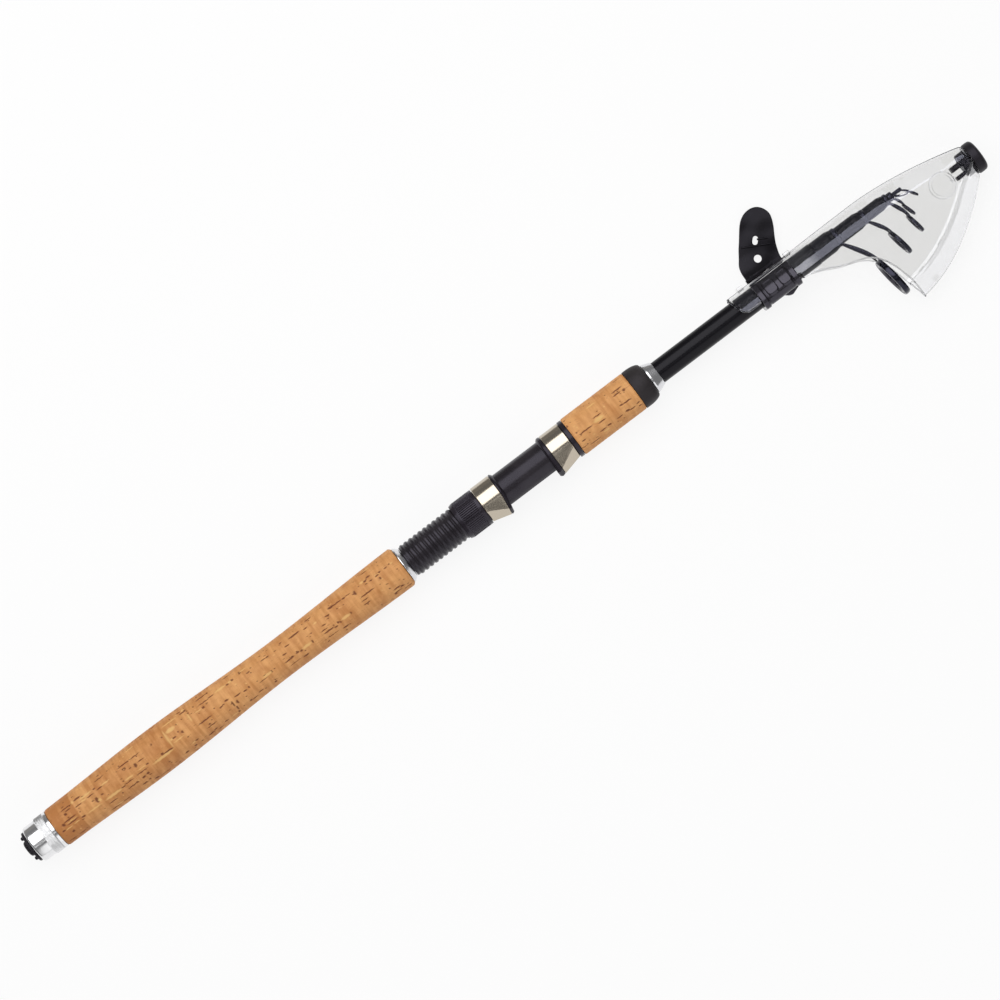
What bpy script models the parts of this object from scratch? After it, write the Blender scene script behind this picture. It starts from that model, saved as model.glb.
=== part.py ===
"""A telescopic travel spinning rod, closed, with its clear tip cover strapped on.

The rod lies on its side: +X runs from the butt to the tip along the rod's axis, the guides point
to -Y, the cover's strap stands up to +Y, and +Z faces up. The origin is the centre of the butt
pad's outer face. Sizes are in metres, written as millimetres times MM.
"""

import math

import bmesh
import bpy
from mathutils import Vector

MM = 0.001

# Clearances
FIT = 0.3 * MM  # between glued or seated neighbours
RUN = 0.3 * MM  # between pieces that slide or turn on one another
TAPER_FIT = 0.32 * MM  # round a section, which is a little thicker behind its front end

# Small chamfers, and how far shapes reach into each other where they are joined
EDGE = 0.3 * MM
BITE = 0.5 * MM

# Facets
ROUND_STEPS = 28
SMALL_STEPS = 16
THREAD_STEPS = 14
HOOD_STEPS = 32
BUMP_STEPS = 6
GUIDE_STEPS = {2: 24, 3: 20, 4: 18, 5: 16, 6: 14}
CORNER_STEPS = 5
GRIP_STEPS = 10

# Blank, from the tip back: each section's wall, its taper to the tail, and its sleeve and foot
TIP_RADIUS = 0.5 * MM
TIP_TAPER = 0.1 * MM
TIP_TUBE_WALL = 0.7 * MM
TIP_TUBE_LENGTH = 6.3 * MM
TIP_TUBE_END = 0.6 * MM
SECTIONS = (
    # number, wall, taper, sleeve height, sleeve length, foot length
    (5, 0.5 * MM, 0.2 * MM, 1.3 * MM, 0.0, 3.3 * MM),
    (4, 0.7 * MM, 0.2 * MM, 1.75 * MM, 13.8 * MM, 2.4 * MM),
    (3, 0.85 * MM, 0.25 * MM, 1.45 * MM, 17.1 * MM, 2.7 * MM),
    (2, 1.0 * MM, 0.3 * MM, 1.4 * MM, 14.4 * MM, 2.7 * MM),
)
BUTT_WALL = 1.1 * MM
SECTION_LENGTH = 475.0 * MM
STOP_GAP = 0.3 * MM
SHOULDER_LENGTH = 3.0 * MM
SHOULDER_DROP = 0.7 * MM

# Guides: section number, ring centre ahead of the foot's front, its drop, outer radius, lean, wire
GUIDES = (
    (2, 11.4 * MM, 39.3 * MM, 13.5 * MM, 7.6, 0.8 * MM),
    (3, 7.1 * MM, 25.2 * MM, 9.2 * MM, 10.4, 0.7 * MM),
    (4, 4.4 * MM, 21.6 * MM, 6.9 * MM, 10.3, 0.65 * MM),
    (5, 2.7 * MM, 12.6 * MM, 5.0 * MM, 17.0, 0.5 * MM),
    (6, 4.2 * MM, 6.3 * MM, 3.5 * MM, 31.0, 0.4 * MM),
)
BEZEL_SHARE = 0.13  # bezel's radial width, as a share of the ring's outer radius
INSERT_SHARE = 0.1
BEZEL_DEPTH_SHARE = 0.09
LEAST_BEZEL_DEPTH = 0.5 * MM
INSERT_DEPTH_SHARE = 0.9  # the insert's depth, as a share of its bezel's
RING_ROUNDING = 0.3  # how far a ring's edges fall away, as a share of its radial width
LEG_ROOT_TURN = 27.0  # degrees round the foot from its lowest line to each leg
LEG_RING_TURN = 46.0  # degrees round the ring from its top to each leg
LEG_ROOT_LIFT = 1.15  # the leg centre line's height over the foot's bore, in wire radii
LEG_RUN = 2.8 * MM  # a leg lies along its foot for this length at most
LEG_BEND = 0.8 * MM  # from the foot's front back to where a leg leaves it
LEG_KNEE = 0.62  # the knee's place, as a share of the way to the ring
LEG_BOW = 0.04  # how far a leg bows forward, as a share of the ring's drop

# Butt end
FERRULE_WALL = 2.1 * MM
FERRULE_LENGTH = 18.0 * MM
CAP_WALL = 2.1 * MM
CAP_END_WALL = 1.5 * MM
CAP_LENGTH = 17.4 * MM
CAP_ROUNDING = 1.5 * MM
KNURL_START = 8.7 * MM
KNURL_LENGTH = 5.7 * MM
KNURL_RISE = 0.7 * MM
CUSHION_LENGTH = 3.0 * MM
CUSHION_AIR = 0.2 * MM
PAD_LENGTH = 4.2 * MM
PAD_FLANGE = 1.6 * MM
PAD_MARGIN = 0.3 * MM  # from the cap's flat end to the pad's edge
PAD_STEM_RADIUS = 3.0 * MM
DOME_RADIUS = 5.1 * MM
DOME_ROUNDING = 1.3 * MM
BUMP_RADIUS = 1.3 * MM
BUMP_LENGTH = 1.7 * MM
BUMP_ROUNDING = 0.6 * MM
BUMP_COUNT = 8

# Cork grips: each radius is a rise over the metal or plastic that the cork meets
REAR_GRIP_LENGTH = 260.1 * MM
REAR_END_RISE = 0.1 * MM
SWELL_RISE = 1.5 * MM
WAIST_RISE = -0.9 * MM
REAR_FRONT_RISE = 0.7 * MM
SWELL_PLACE = 75.0 * MM
WAIST_PLACE = 170.0 * MM
CORK_CHAMFER = 1.4 * MM
FORE_GRIP_LENGTH = 45.9 * MM
FORE_GRIP_RISE = 0.2 * MM
END_RING_LENGTH = 11.1 * MM
END_RING_STRAIGHT = 3.0 * MM
END_RING_RISE = 0.1 * MM
END_RING_NOSE_WALL = 2.8 * MM

# Winding checks, with their walls over the blank at each end
REAR_CHECK_LENGTH = 3.3 * MM
REAR_CHECK_WALLS = (4.7 * MM, 2.1 * MM)
FRONT_CHECK_LENGTH = 6.0 * MM
FRONT_CHECK_WALLS = (2.4 * MM, 0.4 * MM)

# Reel seat
ARBOR_WALL = 1.2 * MM
ARBOR_LENGTH = 20.0 * MM
SEAT_WALL = 1.9 * MM
THREAD_DEPTH = 0.8 * MM
THREAD_PITCH = 3.5 * MM
THREAD_SPARE = 4.1 * MM  # thread ahead of the nut
RIDGE_SHARE = 0.84  # the thread ridge's width at its root, as a share of the pitch
NUT_TRAVEL = 38.4 * MM
NUT_LENGTH = 16.5 * MM
NUT_WALL = 1.1 * MM
NUT_NOSE_WALL = 0.4 * MM
NUT_CHAMFER = 2.0 * MM
NUT_END_BAND = 2.0 * MM
NUT_RIB_DEPTH = 0.5 * MM
NUT_PANELS = 6
NUT_RIBS = 3
LINER_WALL = 0.5 * MM
HOOD_WALL = 0.6 * MM
HOOD_LENGTH = 13.8 * MM
HOOD_RIM = 1.8 * MM
FIXED_HOOD_LENGTH = 13.2 * MM
FIXED_RIM = 3.3 * MM
RIM_CHAMFER = 0.6 * MM
POCKET_DEPTH = 2.4 * MM  # how far the hood's mouth reaches down past its round part
POCKET_HALF_WIDTH = 9.0 * MM
POCKET_TUCK = 0.5 * MM  # how far the pocket's back end lies inside the round part
BED_LENGTH = 33.0 * MM
BED_DEPTH = 0.95 * MM  # how deep the reel foot's flat is cut into the seat
BED_REAR_MARGIN = 0.6 * MM  # from the thread's end to the flat
BED_FRONT_MARGIN = 4.5 * MM  # from the fixed hood's closed end back to the flat
TRIM_LENGTH = 2.7 * MM
TRIM_WALL = 1.6 * MM

# Blank ahead of the grips, then the clear cover
BLANK_SHOWING = 118.5 * MM
COVER_OVERLAP = 59.1 * MM  # the cover's tail over the butt section
TIP_ROOM = 43.2 * MM  # from the tip tube's end to the cover's nose
RING_ROOM = 7.2 * MM  # from the first guide's ring down to the cover's lower line
COVER_WALL = 1.3 * MM
TAIL_AIR = 1.1 * MM
TAIL_SIDE_AIR = 1.6 * MM
TOP_RISE = 0.8 * MM
TOP_FALL_LENGTH = 72.5 * MM
TOP_BOW = 1.7
BELLY_RISE_LENGTH = 70.5 * MM
BELLY_BOW = 0.78
NARROW_LENGTH = 60.5 * MM
WIDEN_BEHIND = 17.2 * MM  # the cover widens from here behind the butt section's front
WIDEN_AHEAD = 19.8 * MM
REST_MARGIN = 0.2 * MM  # the cover is this much narrower than the cork swell that it lies beside
NOSE_RADIUS = 10.3 * MM
NOSE_DROP = 11.4 * MM
COVER_CORNER = 10.0 * MM
TAIL_EDGE_DROP = 3.9 * MM
TROUGH_DROP = 8.0 * MM
TROUGH_STEP = 1.5 * MM
# The tail's round rear edge, as (x, y) from the cover's start
TAIL_EDGE = ((1.2 * MM, 5.0 * MM), (2.4 * MM, 0.0), (6.0 * MM, -3.5 * MM))
# The open rear edge as (x, y), from the first guide's foot: the trough's end to the lower corner
REAR_EDGE = (
    (-25.9 * MM, -TROUGH_DROP),
    (-17.4 * MM, -11.2 * MM),
    (-8.4 * MM, -15.8 * MM),
    (0.6 * MM, -18.8 * MM),
    (7.1 * MM, -22.0 * MM),
    (11.6 * MM, -26.5 * MM),
    (15.9 * MM, -36.0 * MM),
    (18.7 * MM, -48.0 * MM),
    (20.1 * MM, -62.0 * MM),
)
CUT_MARGIN = 9.0 * MM  # how far the rear cutter reaches past the cover
RIB_LENGTH = 4.0 * MM
RIB_HEIGHT = 1.9 * MM
RIB_HALF_WIDTH = 4.0 * MM
REAR_RIB_GAP = 3.2 * MM
FRONT_RIB_GAP = 0.8 * MM
RAIL_SIDE = 2.5 * MM
RAIL_WIDTH = 3.0 * MM

# Nose plug
PLUG_HEAD_LENGTH = 6.6 * MM
PLUG_HEAD_RADIUS = 10.2 * MM
PLUG_ROUNDING = 2.5 * MM
PLUG_STEM_RADIUS = 7.6 * MM
PLUG_STEM_LENGTH = 6.6 * MM
PRONG_LENGTH = 6.6 * MM
PRONG_HALF_WIDTH = 4.0 * MM
PRONG_HEIGHTS = ((0.0, 3.6 * MM), (-5.6 * MM, -3.0 * MM))  # over the plug's axis

# Strap
STRAP_FROM_TAIL = 15.6 * MM
STRAP_LENGTH = 27.0 * MM
STRAP_WALL = 1.7 * MM
STRAP_EDGE_TOP = 7.5 * MM
STRAP_RIM = 3.6 * MM
STRAP_RIM_HEIGHT = 0.6 * MM
STRAP_CORNER = 3.0 * MM
PAD_STRIP_HEIGHT = 0.8 * MM
PAD_STRIP_SIDES = (-4.2 * MM, 5.4 * MM)
PAD_STRIP_LEAD = 5.7 * MM
PAD_STRIP_TAIL = 3.9 * MM
PAD_STRIP_GAP = 3.0 * MM
HOOK_START = 13.0 * MM
HOOK_LENGTH = 8.0 * MM
HOOK_HALF_WIDTH = 3.0 * MM
HOOK_HEIGHT = 2.0 * MM
TONGUE_THICKNESS = 3.0 * MM
# The tongue's sides as (x, y) over its fold: the rear one from the strap's start, up, and the
# front one from the strap's end, down. Then each hole's place from the strap's start, and radius
TONGUE_REAR = (
    (1.5 * MM, 0.0),
    (1.2 * MM, 7.0 * MM),
    (2.4 * MM, 11.7 * MM),
    (8.4 * MM, 21.9 * MM),
    (17.4 * MM, 32.7 * MM),
    (21.6 * MM, 35.1 * MM),
)
TONGUE_FRONT = (
    (0.6 * MM, 36.0 * MM),
    (7.0 * MM, 32.3 * MM),
    (9.6 * MM, 27.3 * MM),
    (8.9 * MM, 23.0 * MM),
    (4.2 * MM, 14.7 * MM),
    (-0.6 * MM, 5.1 * MM),
    (-1.5 * MM, 0.0),
)
TONGUE_HOLES = ((14.7 * MM, 9.6 * MM, 2.4 * MM), (20.1 * MM, 19.2 * MM, 2.55 * MM))


def section_radii():
    """Each section's radii, worked out from the tip section to the butt section round it."""
    radii = {6: {"radius": TIP_RADIUS, "tail": TIP_RADIUS + TIP_TAPER, "bore": 0.0}}
    inner_tail = TIP_RADIUS + TIP_TAPER
    for number, wall, taper, *_ in SECTIONS:
        bore = inner_tail + RUN
        radii[number] = {"radius": bore + wall, "tail": bore + wall + taper, "bore": bore}
        inner_tail = bore + wall + taper
    bore = inner_tail + RUN
    radii[1] = {"radius": bore + BUTT_WALL, "tail": bore + BUTT_WALL, "bore": bore}
    return radii


# Radii, each from the piece inside it
RADII = section_radii()
BUTT_RADIUS = RADII[1]["radius"]
BLANK_BORE = BUTT_RADIUS + FIT  # the bore of everything glued on the blank
FERRULE_RADIUS = BLANK_BORE + FERRULE_WALL
CAP_RADIUS = FERRULE_RADIUS + RUN + CAP_WALL
KNURL_RADIUS = CAP_RADIUS + KNURL_RISE
PAD_RADIUS = CAP_RADIUS - CAP_ROUNDING - PAD_MARGIN
BUMP_CIRCLE = (DOME_RADIUS + PAD_RADIUS) / 2
ARBOR_RADIUS = BLANK_BORE + ARBOR_WALL
SEAT_RADIUS = ARBOR_RADIUS + FIT + SEAT_WALL
THREAD_ROOT_RADIUS = SEAT_RADIUS - THREAD_DEPTH
SEAT_BORE = SEAT_RADIUS + RUN  # the bore of everything that runs on the seat
NUT_RADIUS = SEAT_BORE + NUT_WALL
HOOD_RADIUS = SEAT_BORE + LINER_WALL + FIT + HOOD_WALL
POCKET_DROP = HOOD_RADIUS + POCKET_DEPTH  # from the axis to the outside of the hood's mouth
BED_DROP = SEAT_RADIUS - BED_DEPTH  # from the axis to the flat that the reel foot lies on
TRIM_RADIUS = SEAT_BORE + TRIM_WALL
FORE_GRIP_RADIUS = TRIM_RADIUS + FORE_GRIP_RISE
END_RING_RADIUS = FORE_GRIP_RADIUS + END_RING_RISE

# Places along the rod, each from the piece before it
CAP_START = PAD_LENGTH + FIT
CUSHION_START = CAP_START + CAP_END_WALL + FIT
BLANK_START = CUSHION_START + CUSHION_LENGTH + FIT
REAR_GRIP_START = CAP_START + CAP_LENGTH + FIT
REAR_CHECK_START = REAR_GRIP_START + REAR_GRIP_LENGTH + FIT
SEAT_START = REAR_CHECK_START + REAR_CHECK_LENGTH + FIT
THREAD_LENGTH = NUT_TRAVEL + NUT_LENGTH + THREAD_SPARE
NUT_START = SEAT_START + NUT_TRAVEL + FIT
HOOD_START = NUT_START + NUT_LENGTH + FIT
HOOD_FRONT = HOOD_START + HOOD_LENGTH + HOOD_RIM
FIXED_START = HOOD_FRONT + BED_LENGTH
FIXED_FRONT = FIXED_START + FIXED_RIM + FIXED_HOOD_LENGTH
TRIM_START = FIXED_FRONT + FIT
SEAT_END = TRIM_START + TRIM_LENGTH
FORE_GRIP_START = SEAT_END + FIT
END_RING_START = FORE_GRIP_START + FORE_GRIP_LENGTH + FIT
FRONT_CHECK_START = END_RING_START + END_RING_LENGTH + FIT
BUTT_FRONT = FRONT_CHECK_START + FRONT_CHECK_LENGTH + BLANK_SHOWING


def section_places():
    """Each inner section's sleeve and foot, in turn ahead of the butt section's front."""
    front = BUTT_FRONT
    places = {}
    for number, _, _, height, sleeve_length, foot_length in reversed(SECTIONS):
        sleeve_start = front + STOP_GAP
        sleeve_end = sleeve_start + sleeve_length
        foot_start = sleeve_end + (FIT if sleeve_length else 0.0)
        front = foot_start + foot_length
        radius = RADII[number]["radius"] + height
        places[number] = {"sleeve": (sleeve_start, sleeve_end), "foot": (foot_start, front), "around": radius}
    start = front + STOP_GAP
    around = TIP_RADIUS + TIP_TUBE_WALL
    places[6] = {"sleeve": (start, start), "foot": (start, start + TIP_TUBE_LENGTH), "around": around}
    return places


PLACES = section_places()
FIRST_GUIDE = PLACES[2]["foot"][1]
TAIL_TOP = BLANK_BORE + TAIL_AIR + COVER_WALL
TAIL_HALF_WIDTH = BLANK_BORE + TAIL_SIDE_AIR + COVER_WALL
COVER_HALF_WIDTH = KNURL_RADIUS + SWELL_RISE - REST_MARGIN
COVER_BOTTOM = GUIDES[0][2] + GUIDES[0][3] + RING_ROOM
COVER_START = BUTT_FRONT - COVER_OVERLAP
COVER_NOSE = PLACES[6]["foot"][1] + TIP_ROOM
STRAP_START = COVER_START + STRAP_FROM_TAIL
STRAP_END = STRAP_START + STRAP_LENGTH

COLORS = {
    "cork": ((0.61, 0.31, 0.13), 0.75, 0.0),
    "rubber": ((0.02, 0.02, 0.022), 0.65, 0.0),
    "aluminium": ((0.66, 0.66, 0.68), 0.25, 1.0),
    "nickel": ((0.34, 0.3, 0.24), 0.18, 1.0),
    "black_plastic": ((0.025, 0.024, 0.028), 0.4, 0.0),
    "blank": ((0.012, 0.012, 0.015), 0.15, 0.0),
    "ceramic": ((0.05, 0.05, 0.055), 0.2, 0.0),
    "clear": ((0.85, 0.85, 0.85), 0.08, 0.0),
}


def clear_scene():
    for obj in list(bpy.data.objects):
        bpy.data.objects.remove(obj, do_unlink=True)


def collection(name, hidden=False):
    made = bpy.data.collections.new(name)
    bpy.context.scene.collection.children.link(made)
    made.hide_render = hidden
    return made


def material(name):
    """The Principled material of this name, made the first time it is asked for."""
    if name in bpy.data.materials:
        return bpy.data.materials[name]
    color, roughness, metallic = COLORS[name]
    made = bpy.data.materials.new(name)
    made.use_nodes = True
    shader = made.node_tree.nodes["Principled BSDF"]
    shader.inputs["Base Color"].default_value = (*color, 1.0)
    shader.inputs["Roughness"].default_value = roughness
    shader.inputs["Metallic"].default_value = metallic
    if name == "clear":
        shader.inputs["Transmission Weight"].default_value = 0.9
    return made


def new_object(name, mesh, look, location=(0, 0, 0), rotation=(0, 0, 0)):
    """An object in the parts collection, or among the cutters when it has no look."""
    made = bpy.data.objects.new(name, mesh)
    made.location = location
    made.rotation_euler = rotation
    if look is None:
        CUTTERS.objects.link(made)
        made.hide_render = True
        made.display_type = "WIRE"
    else:
        PARTS.objects.link(made)
        mesh.materials.append(material(look))
    return made


def combine(base, tool, operation, solver="EXACT"):
    """A live Boolean of base with a helper object from the cutters collection."""
    modifier = base.modifiers.new(operation.title() + " " + tool.name, "BOOLEAN")
    modifier.operation = operation
    modifier.solver = solver
    modifier.object = tool


def turned(name, look, outer, bore=(), steps=ROUND_STEPS, height=0.0, place=None, lean=0.0):
    """A shape turned about a line along X. outer and bore list (x, radius) from butt to tip.

    The profile runs down the outer side from the tip end, then back up the bore, so that the
    faces point outwards. Without a bore it closes on the axis.
    """
    start = outer[0][0]
    line = [(x - start, radius) for x, radius in reversed(outer)]
    if bore:
        line += [(x - start, radius) for x, radius in bore]
    else:
        line = [(line[0][0], 0.0)] + line + [(line[-1][0], 0.0)]
    mesh = bpy.data.meshes.new(name)
    points = [(radius, 0.0, along) for along, radius in line]
    count = len(points)
    edges = [(i, (i + 1) % count) for i in range(count if bore else count - 1)]
    mesh.from_pydata(points, edges, [])
    location = place or (start, height, 0.0)
    made = new_object(name, mesh, look, location, (0.0, math.pi / 2, lean))
    screw = made.modifiers.new("Turn", "SCREW")
    screw.axis = "Z"
    screw.angle = math.tau
    screw.steps = steps
    screw.render_steps = steps
    screw.use_merge_vertices = True
    screw.merge_threshold = 1e-5
    screw.use_smooth_shade = True
    return made


def tube(name, look, start, end, radius, bore, steps=ROUND_STEPS):
    return turned(name, look, [(start, radius), (end, radius)], [(start, bore), (end, bore)], steps)


def mesh_from_curve(curve_object, name, look):
    """Turns a curve object into a mesh object with its loose caps welded."""
    bpy.context.view_layer.update()
    graph = bpy.context.evaluated_depsgraph_get()
    mesh = bpy.data.meshes.new_from_object(curve_object.evaluated_get(graph))
    mesh.name = name
    mesh.materials.clear()
    work = bmesh.new()
    work.from_mesh(mesh)
    bmesh.ops.remove_doubles(work, verts=work.verts, dist=1e-6)
    work.to_mesh(mesh)
    work.free()
    made = new_object(name, mesh, look)
    made.matrix_world = curve_object.matrix_world.copy()
    bpy.data.objects.remove(curve_object, do_unlink=True)
    return made


def wire(name, look, points, radius):
    """A round wire through the points, as a mesh."""
    curve = bpy.data.curves.new(name + " line", "CURVE")
    curve.dimensions = "3D"
    curve.bevel_depth = radius
    curve.bevel_resolution = 1
    curve.use_fill_caps = True
    spline = curve.splines.new("POLY")
    spline.points.add(len(points) - 1)
    for point, place in zip(spline.points, points):
        point.co = (*place, 1.0)
    line = bpy.data.objects.new(name + " line", curve)
    CUTTERS.objects.link(line)
    return mesh_from_curve(line, name, look)


def plate(name, look, outlines, low, high, place=(0.0, 0.0, 0.0)):
    """A flat plate between two heights, from closed outlines in the XY plane round a place.

    Outlines inside the first are holes.
    """
    curve = bpy.data.curves.new(name + " outline", "CURVE")
    curve.dimensions = "2D"
    curve.fill_mode = "BOTH"
    curve.extrude = (high - low) / 2
    for outline in outlines:
        spline = curve.splines.new("POLY")
        spline.use_cyclic_u = True
        spline.points.add(len(outline) - 1)
        for point, (x, y) in zip(spline.points, outline):
            point.co = (x, y, 0.0, 1.0)
    flat = bpy.data.objects.new(name + " outline", curve)
    flat.location = Vector(place) + Vector((0.0, 0.0, (low + high) / 2))
    CUTTERS.objects.link(flat)
    return mesh_from_curve(flat, name, look)


def box(name, look, low, high):
    """A box between two corners."""
    mesh = bpy.data.meshes.new(name)
    work = bmesh.new()
    bmesh.ops.create_cube(work, size=1.0)
    size = Vector(high) - Vector(low)
    bmesh.ops.scale(work, vec=size, verts=work.verts)
    work.to_mesh(mesh)
    work.free()
    return new_object(name, mesh, look, (Vector(low) + Vector(high)) / 2)


def lofted(name, look, rings, closed=False):
    """A skin over rings with equal numbers of points.

    Open ends are filled. A closed loft joins its last ring to its first, as round a tube's wall.
    Every diagonal rises the same way along X, so that nested skins stay clear of each other.
    """
    mesh = bpy.data.meshes.new(name)
    work = bmesh.new()
    rows = [[work.verts.new(point) for point in ring] for ring in rings]
    count = len(rows[0])
    pairs = list(zip(rows, rows[1:]))
    if closed:
        pairs.append((rows[-1], rows[0]))
    for near, far in pairs:
        rising = near[0].co.x <= far[0].co.x
        for i in range(count):
            j = (i + 1) % count
            if rising:
                work.faces.new((near[i], near[j], far[j]))
                work.faces.new((near[i], far[j], far[i]))
            else:
                work.faces.new((near[i], near[j], far[i]))
                work.faces.new((near[j], far[j], far[i]))
    if not closed:
        work.faces.new(list(reversed(rows[0])))
        work.faces.new(rows[-1])
    bmesh.ops.recalc_face_normals(work, faces=work.faces)
    work.to_mesh(mesh)
    work.free()
    return new_object(name, mesh, look)


def circle(radius, count):
    """Pairs of coordinates round a circle."""
    turns = [math.tau * i / count for i in range(count)]
    return [(radius * math.cos(a), radius * math.sin(a)) for a in turns]


def ease(low, high, x):
    """0 below low, 1 above high, and smooth between them."""
    share = min(max((x - low) / (high - low), 0.0), 1.0)
    return share * share * (3 - 2 * share)


def spread(low, high, count):
    """count + 1 even steps from low to high."""
    return [low + (high - low) * i / count for i in range(count + 1)]


def rounded(wide, narrow, count=3):
    """A quarter ellipse of (x, radius) points that leaves the wide corner along X."""
    points = []
    for turn in spread(0.0, math.pi / 2, count):
        x = wide[0] + (narrow[0] - wide[0]) * math.sin(turn)
        points.append((x, narrow[1] + (wide[1] - narrow[1]) * math.cos(turn)))
    return points


def smooth_line(points, steps):
    """A Catmull-Rom line through the points, with so many steps in each stretch."""
    line = []
    padded = [points[0], *points, points[-1]]
    for a, b, c, d in zip(padded, padded[1:], padded[2:], padded[3:]):
        for t in spread(0.0, 1.0, steps)[:-1]:
            line.append(
                tuple(
                    0.5 * (2 * q + (r - p) * t + (2 * p - 5 * q + 4 * r - s) * t * t
                           + (3 * q - p - 3 * r + s) * t * t * t)
                    for p, q, r, s in zip(a, b, c, d)
                )
            )
    return line + [points[-1]]


# The butt end


def make_butt_pad():
    """Rubber pad: a flange, a low dome with a flat face, bumps round it and a stem into the cap."""
    rise = PAD_LENGTH - PAD_FLANGE
    dome = rounded((DOME_ROUNDING, DOME_RADIUS), (0.0, DOME_RADIUS - DOME_ROUNDING))
    outer = list(reversed(dome))
    outer += [
        (rise, DOME_RADIUS),
        (rise, PAD_RADIUS - 2 * EDGE),
        (rise + EDGE, PAD_RADIUS),
        (PAD_LENGTH, PAD_RADIUS),
        (PAD_LENGTH, PAD_STEM_RADIUS),
        (CAP_START + CAP_END_WALL - EDGE, PAD_STEM_RADIUS),
    ]
    pad = turned("butt_pad", "rubber", outer)
    top = rise - BUMP_LENGTH
    profile = [
        (top, BUMP_RADIUS - BUMP_ROUNDING),
        (top + BUMP_ROUNDING, BUMP_RADIUS),
        (rise + BITE, BUMP_RADIUS),
    ]
    for i in range(BUMP_COUNT):
        angle = math.tau * (i + 0.5) / BUMP_COUNT
        place = (top, BUMP_CIRCLE * math.cos(angle), BUMP_CIRCLE * math.sin(angle))
        bump = turned(f"pad bump {i}", None, profile, steps=BUMP_STEPS, place=place)
        combine(pad, bump, "UNION")


def make_butt_cap():
    """Aluminium cap: rounded end, polished wall, a knurled band and a polished rim."""
    knurl = CAP_START + KNURL_START
    knurl_end = knurl + KNURL_LENGTH
    front = CAP_START + CAP_LENGTH
    end_round = rounded((CAP_START + CAP_ROUNDING, CAP_RADIUS), (CAP_START, CAP_RADIUS - CAP_ROUNDING))
    outer = list(reversed(end_round))
    outer += [
        (knurl - EDGE, CAP_RADIUS),
        (knurl, KNURL_RADIUS - EDGE),
        (knurl_end, KNURL_RADIUS - EDGE),
        (knurl_end + EDGE, KNURL_RADIUS),
        (front - EDGE, KNURL_RADIUS),
        (front, KNURL_RADIUS - EDGE),
    ]
    hole = PAD_STEM_RADIUS + FIT
    inner = FERRULE_RADIUS + RUN
    bore = [
        (CAP_START, hole),
        (CAP_START + CAP_END_WALL, hole),
        (CAP_START + CAP_END_WALL, inner),
        (front, inner),
    ]
    turned("butt_cap", "aluminium", outer, bore)


def make_cap_cushion():
    radius = FERRULE_RADIUS - CUSHION_AIR
    end = CUSHION_START + CUSHION_LENGTH
    turned("cap_cushion", "rubber", [(CUSHION_START, radius), (end, radius)], steps=SMALL_STEPS)


def make_butt_ferrule():
    """The plug glued round the blank's rear end that the cap screws on."""
    end = BLANK_START + FERRULE_LENGTH
    tube("butt_ferrule", "aluminium", BLANK_START, end, FERRULE_RADIUS, BLANK_BORE, SMALL_STEPS)


# The grips


def rear_grip_radius(x):
    """The rear grip's radius at x from its rear end: a swell for the palm, then a waist."""
    rise = REAR_END_RISE
    rise += (SWELL_RISE - REAR_END_RISE) * ease(0.0, SWELL_PLACE, x)
    rise += (WAIST_RISE - SWELL_RISE) * ease(SWELL_PLACE, WAIST_PLACE, x)
    rise += (REAR_FRONT_RISE - WAIST_RISE) * ease(WAIST_PLACE, REAR_GRIP_LENGTH, x)
    return KNURL_RADIUS + rise


def make_rear_grip():
    places = spread(0.0, REAR_GRIP_LENGTH - CORK_CHAMFER, GRIP_STEPS)
    outer = [(REAR_GRIP_START + x, rear_grip_radius(x)) for x in places]
    end = REAR_GRIP_START + REAR_GRIP_LENGTH
    outer.append((end, rear_grip_radius(REAR_GRIP_LENGTH) - CORK_CHAMFER))
    step = BLANK_START + FERRULE_LENGTH + FIT
    bore = [
        (REAR_GRIP_START, FERRULE_RADIUS + FIT),
        (step, FERRULE_RADIUS + FIT),
        (step, BLANK_BORE),
        (end, BLANK_BORE),
    ]
    turned("rear_grip_cork", "cork", outer, bore)


def make_fore_grip():
    end = FORE_GRIP_START + FORE_GRIP_LENGTH
    outer = [
        (FORE_GRIP_START, FORE_GRIP_RADIUS - EDGE),
        (FORE_GRIP_START + EDGE, FORE_GRIP_RADIUS),
        (end - EDGE, FORE_GRIP_RADIUS),
        (end, FORE_GRIP_RADIUS - EDGE),
    ]
    turned("fore_grip_cork", "cork", outer, [(FORE_GRIP_START, BLANK_BORE), (end, BLANK_BORE)])


def make_end_ring():
    """Rubber ring that closes the fore grip: straight, then domed to its nose."""
    start, end = END_RING_START, END_RING_START + END_RING_LENGTH
    nose = (end, BLANK_BORE + END_RING_NOSE_WALL)
    outer = [(start, END_RING_RADIUS - EDGE), (start + EDGE, END_RING_RADIUS)]
    outer += rounded((start + END_RING_STRAIGHT, END_RING_RADIUS), nose, 4)
    turned("fore_grip_end_ring", "rubber", outer, [(start, BLANK_BORE), (end, BLANK_BORE)])


def make_winding_check(name, start, length, walls):
    """A metal cone that closes a grip against the blank."""
    end = start + length
    wide, narrow = BLANK_BORE + walls[0], BLANK_BORE + walls[1]
    outer = [(start, wide - EDGE), (start + EDGE, wide), (end, narrow)]
    turned(name, "aluminium", outer, [(start, BLANK_BORE), (end, BLANK_BORE)])


# The reel seat


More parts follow.
